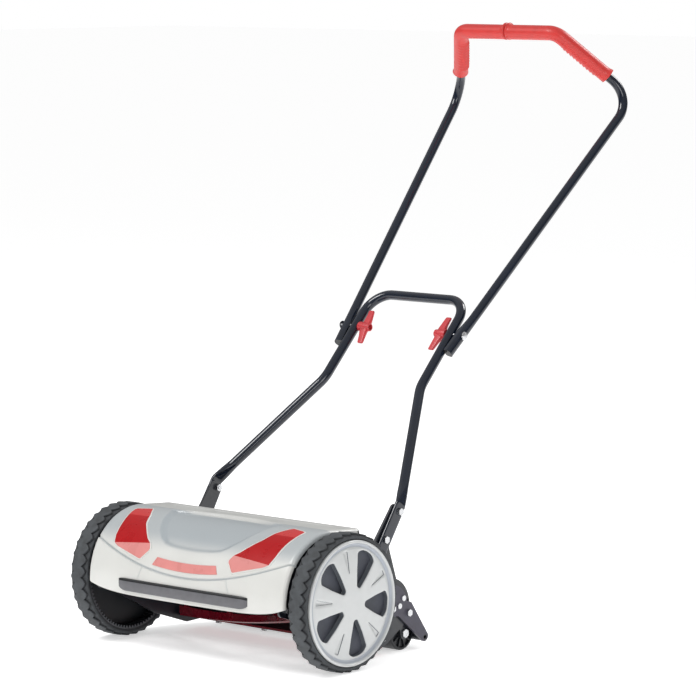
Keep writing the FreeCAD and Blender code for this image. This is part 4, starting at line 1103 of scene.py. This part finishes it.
FOLD_Y, FOLD_Z = 402.0, 470.0
WING_ANGLE = math.radians(52)
WING_LEAN = 3.5
# Half thickness, and the near and far edges, of a wing at distances from the bolt.
WING_ROWS = [(4.5, 4.4, 3.0, 17.5), (9.0, 3.9, 3.2, 17.0), (18.0, 3.0, 3.4, 15.2),
             (28.0, 2.4, 3.8, 14.4), (30.4, 2.0, 4.2, 14.0), (31.0, 1.2, 4.8, 13.4)]


def make_wing_nuts(paint):
    """Red wing nuts on the fold bolts: a hollow hub with two tapered wings."""
    low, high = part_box("wing_nut_right")
    inner, outer = low.x / MM, high.x / MM
    hub = lathe([(inner, 4.4), (inner, 5.8), (inner + 0.8, 6.6), (inner + 6, 7.1), (outer - 2, 8.2),
                 (outer, 7.6), (outer, 3.3), (inner + 6, 3.3), (inner + 6, 4.4)], FOLD_Y, FOLD_Z, 40)
    parts = [hub]
    for side in (1, -1):
        along = Vector((0, math.cos(WING_ANGLE), math.sin(WING_ANGLE))) * side
        across = Vector((0, -math.sin(WING_ANGLE), math.cos(WING_ANGLE)))
        lean = WING_LEAN * side
        rows = []
        for reach, thick, near, far in WING_ROWS:
            shift = lean * max(0.0, reach - 9) / 22
            ring = []
            for a, b in unit_circle(24):
                wide = (far - near) / 2
                x = inner + (near + far) / 2 + shift + wide * math.copysign(abs(a) ** 0.45, a)
                side_step = thick * math.copysign(abs(b) ** 0.45, b)
                ring.append(at(x, FOLD_Y, FOLD_Z) + (along * reach + across * side_step) * MM)
            rows.append(ring)
        parts.append(skin(rows))
    vertices, faces = joined(*parts)
    for side in ("right", "left"):
        new_piece(f"wing_nut_body_{side}", *on_side(side, vertices, faces), [paint["wing_nut"]],
                  f"{side}_wing_nut", "wing_nut", replaces=[f"wing_nut_{side}"], smooth=38)


# ---------------------------------------------------------------- carried-over CAD nodes

NODE_FINISHES = {
    "chassis": ["side_plate_right", "side_plate_left", "front_tie_rod", "top_tie_rod", "bed_bar",
                "adjuster_lugs", "rear_cross_bar", "roller_arm_right", "roller_arm_left"],
    "bracket": ["roller_bracket_right", "roller_bracket_left"],
    "zinc": ["tie_rod_nuts", "shroud_screws", "bumper_screws", "knife_screws", "bed_pivot_bolts",
             "adjuster_screws", "axle_nuts", "wheel_clips", "reel_clips", "height_pivots",
             "height_lock_bolts", "bracket_rivets", "roller_axle", "roller_axle_nuts", "foot_bolts",
             "fold_bolt_right", "fold_bolt_left", "wheel_axle_right", "wheel_axle_left"],
    "nylon": ["reel_bearing_right", "reel_bearing_left"],
    "reel": ["reel_spiders", "reel_blades", "bed_knife"],
    "gear": ["reel_shaft", "ratchet_keys", "ring_gear_right", "ring_gear_left", "pinion_right",
             "pinion_left"],
    "rim": ["rim_right", "rim_left"],
    "roller": ["roller_tube", "roller_end_right", "roller_end_left"],
}
BEVEL_WIDTH = 0.45
BEVELLED = ["side_plate_right", "side_plate_left", "roller_bracket_right", "roller_bracket_left",
            "foot_bolts", "height_pivots", "height_lock_bolts", "bracket_rivets", "tie_rod_nuts",
            "rear_cross_bar", "reel_blades", "bed_knife", "roller_arm_right", "roller_arm_left"]


def dress_cad_nodes(paint):
    """Give the CAD nodes that stay in view their finish and soft edges."""
    for name, nodes in NODE_FINISHES.items():
        for node in nodes:
            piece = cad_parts[node]
            piece.data.materials.clear()
            piece.data.materials.append(paint[name])
    for node in BEVELLED:
        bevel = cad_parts[node].modifiers.new("soft_edges", "BEVEL")
        bevel.width = BEVEL_WIDTH * MM
        bevel.segments = 2
        bevel.limit_method = "ANGLE"
        bevel.angle_limit = math.radians(40)
        bevel.use_clamp_overlap = True
        bevel.harden_normals = False


# ---------------------------------------------------------------- whole scene

def main():
    """Camera and studio first, then every piece."""
    add_camera()
    add_studio()
    paint = make_finishes()
    make_shroud(paint)
    make_windows(paint)
    make_bumper(paint)
    make_hub_caps(paint)
    make_tyres(paint)
    make_lower_handle(paint)
    make_upper_handle(paint)
    make_grips(paint)
    make_wing_nuts(paint)
    dress_cad_nodes(paint)


main()
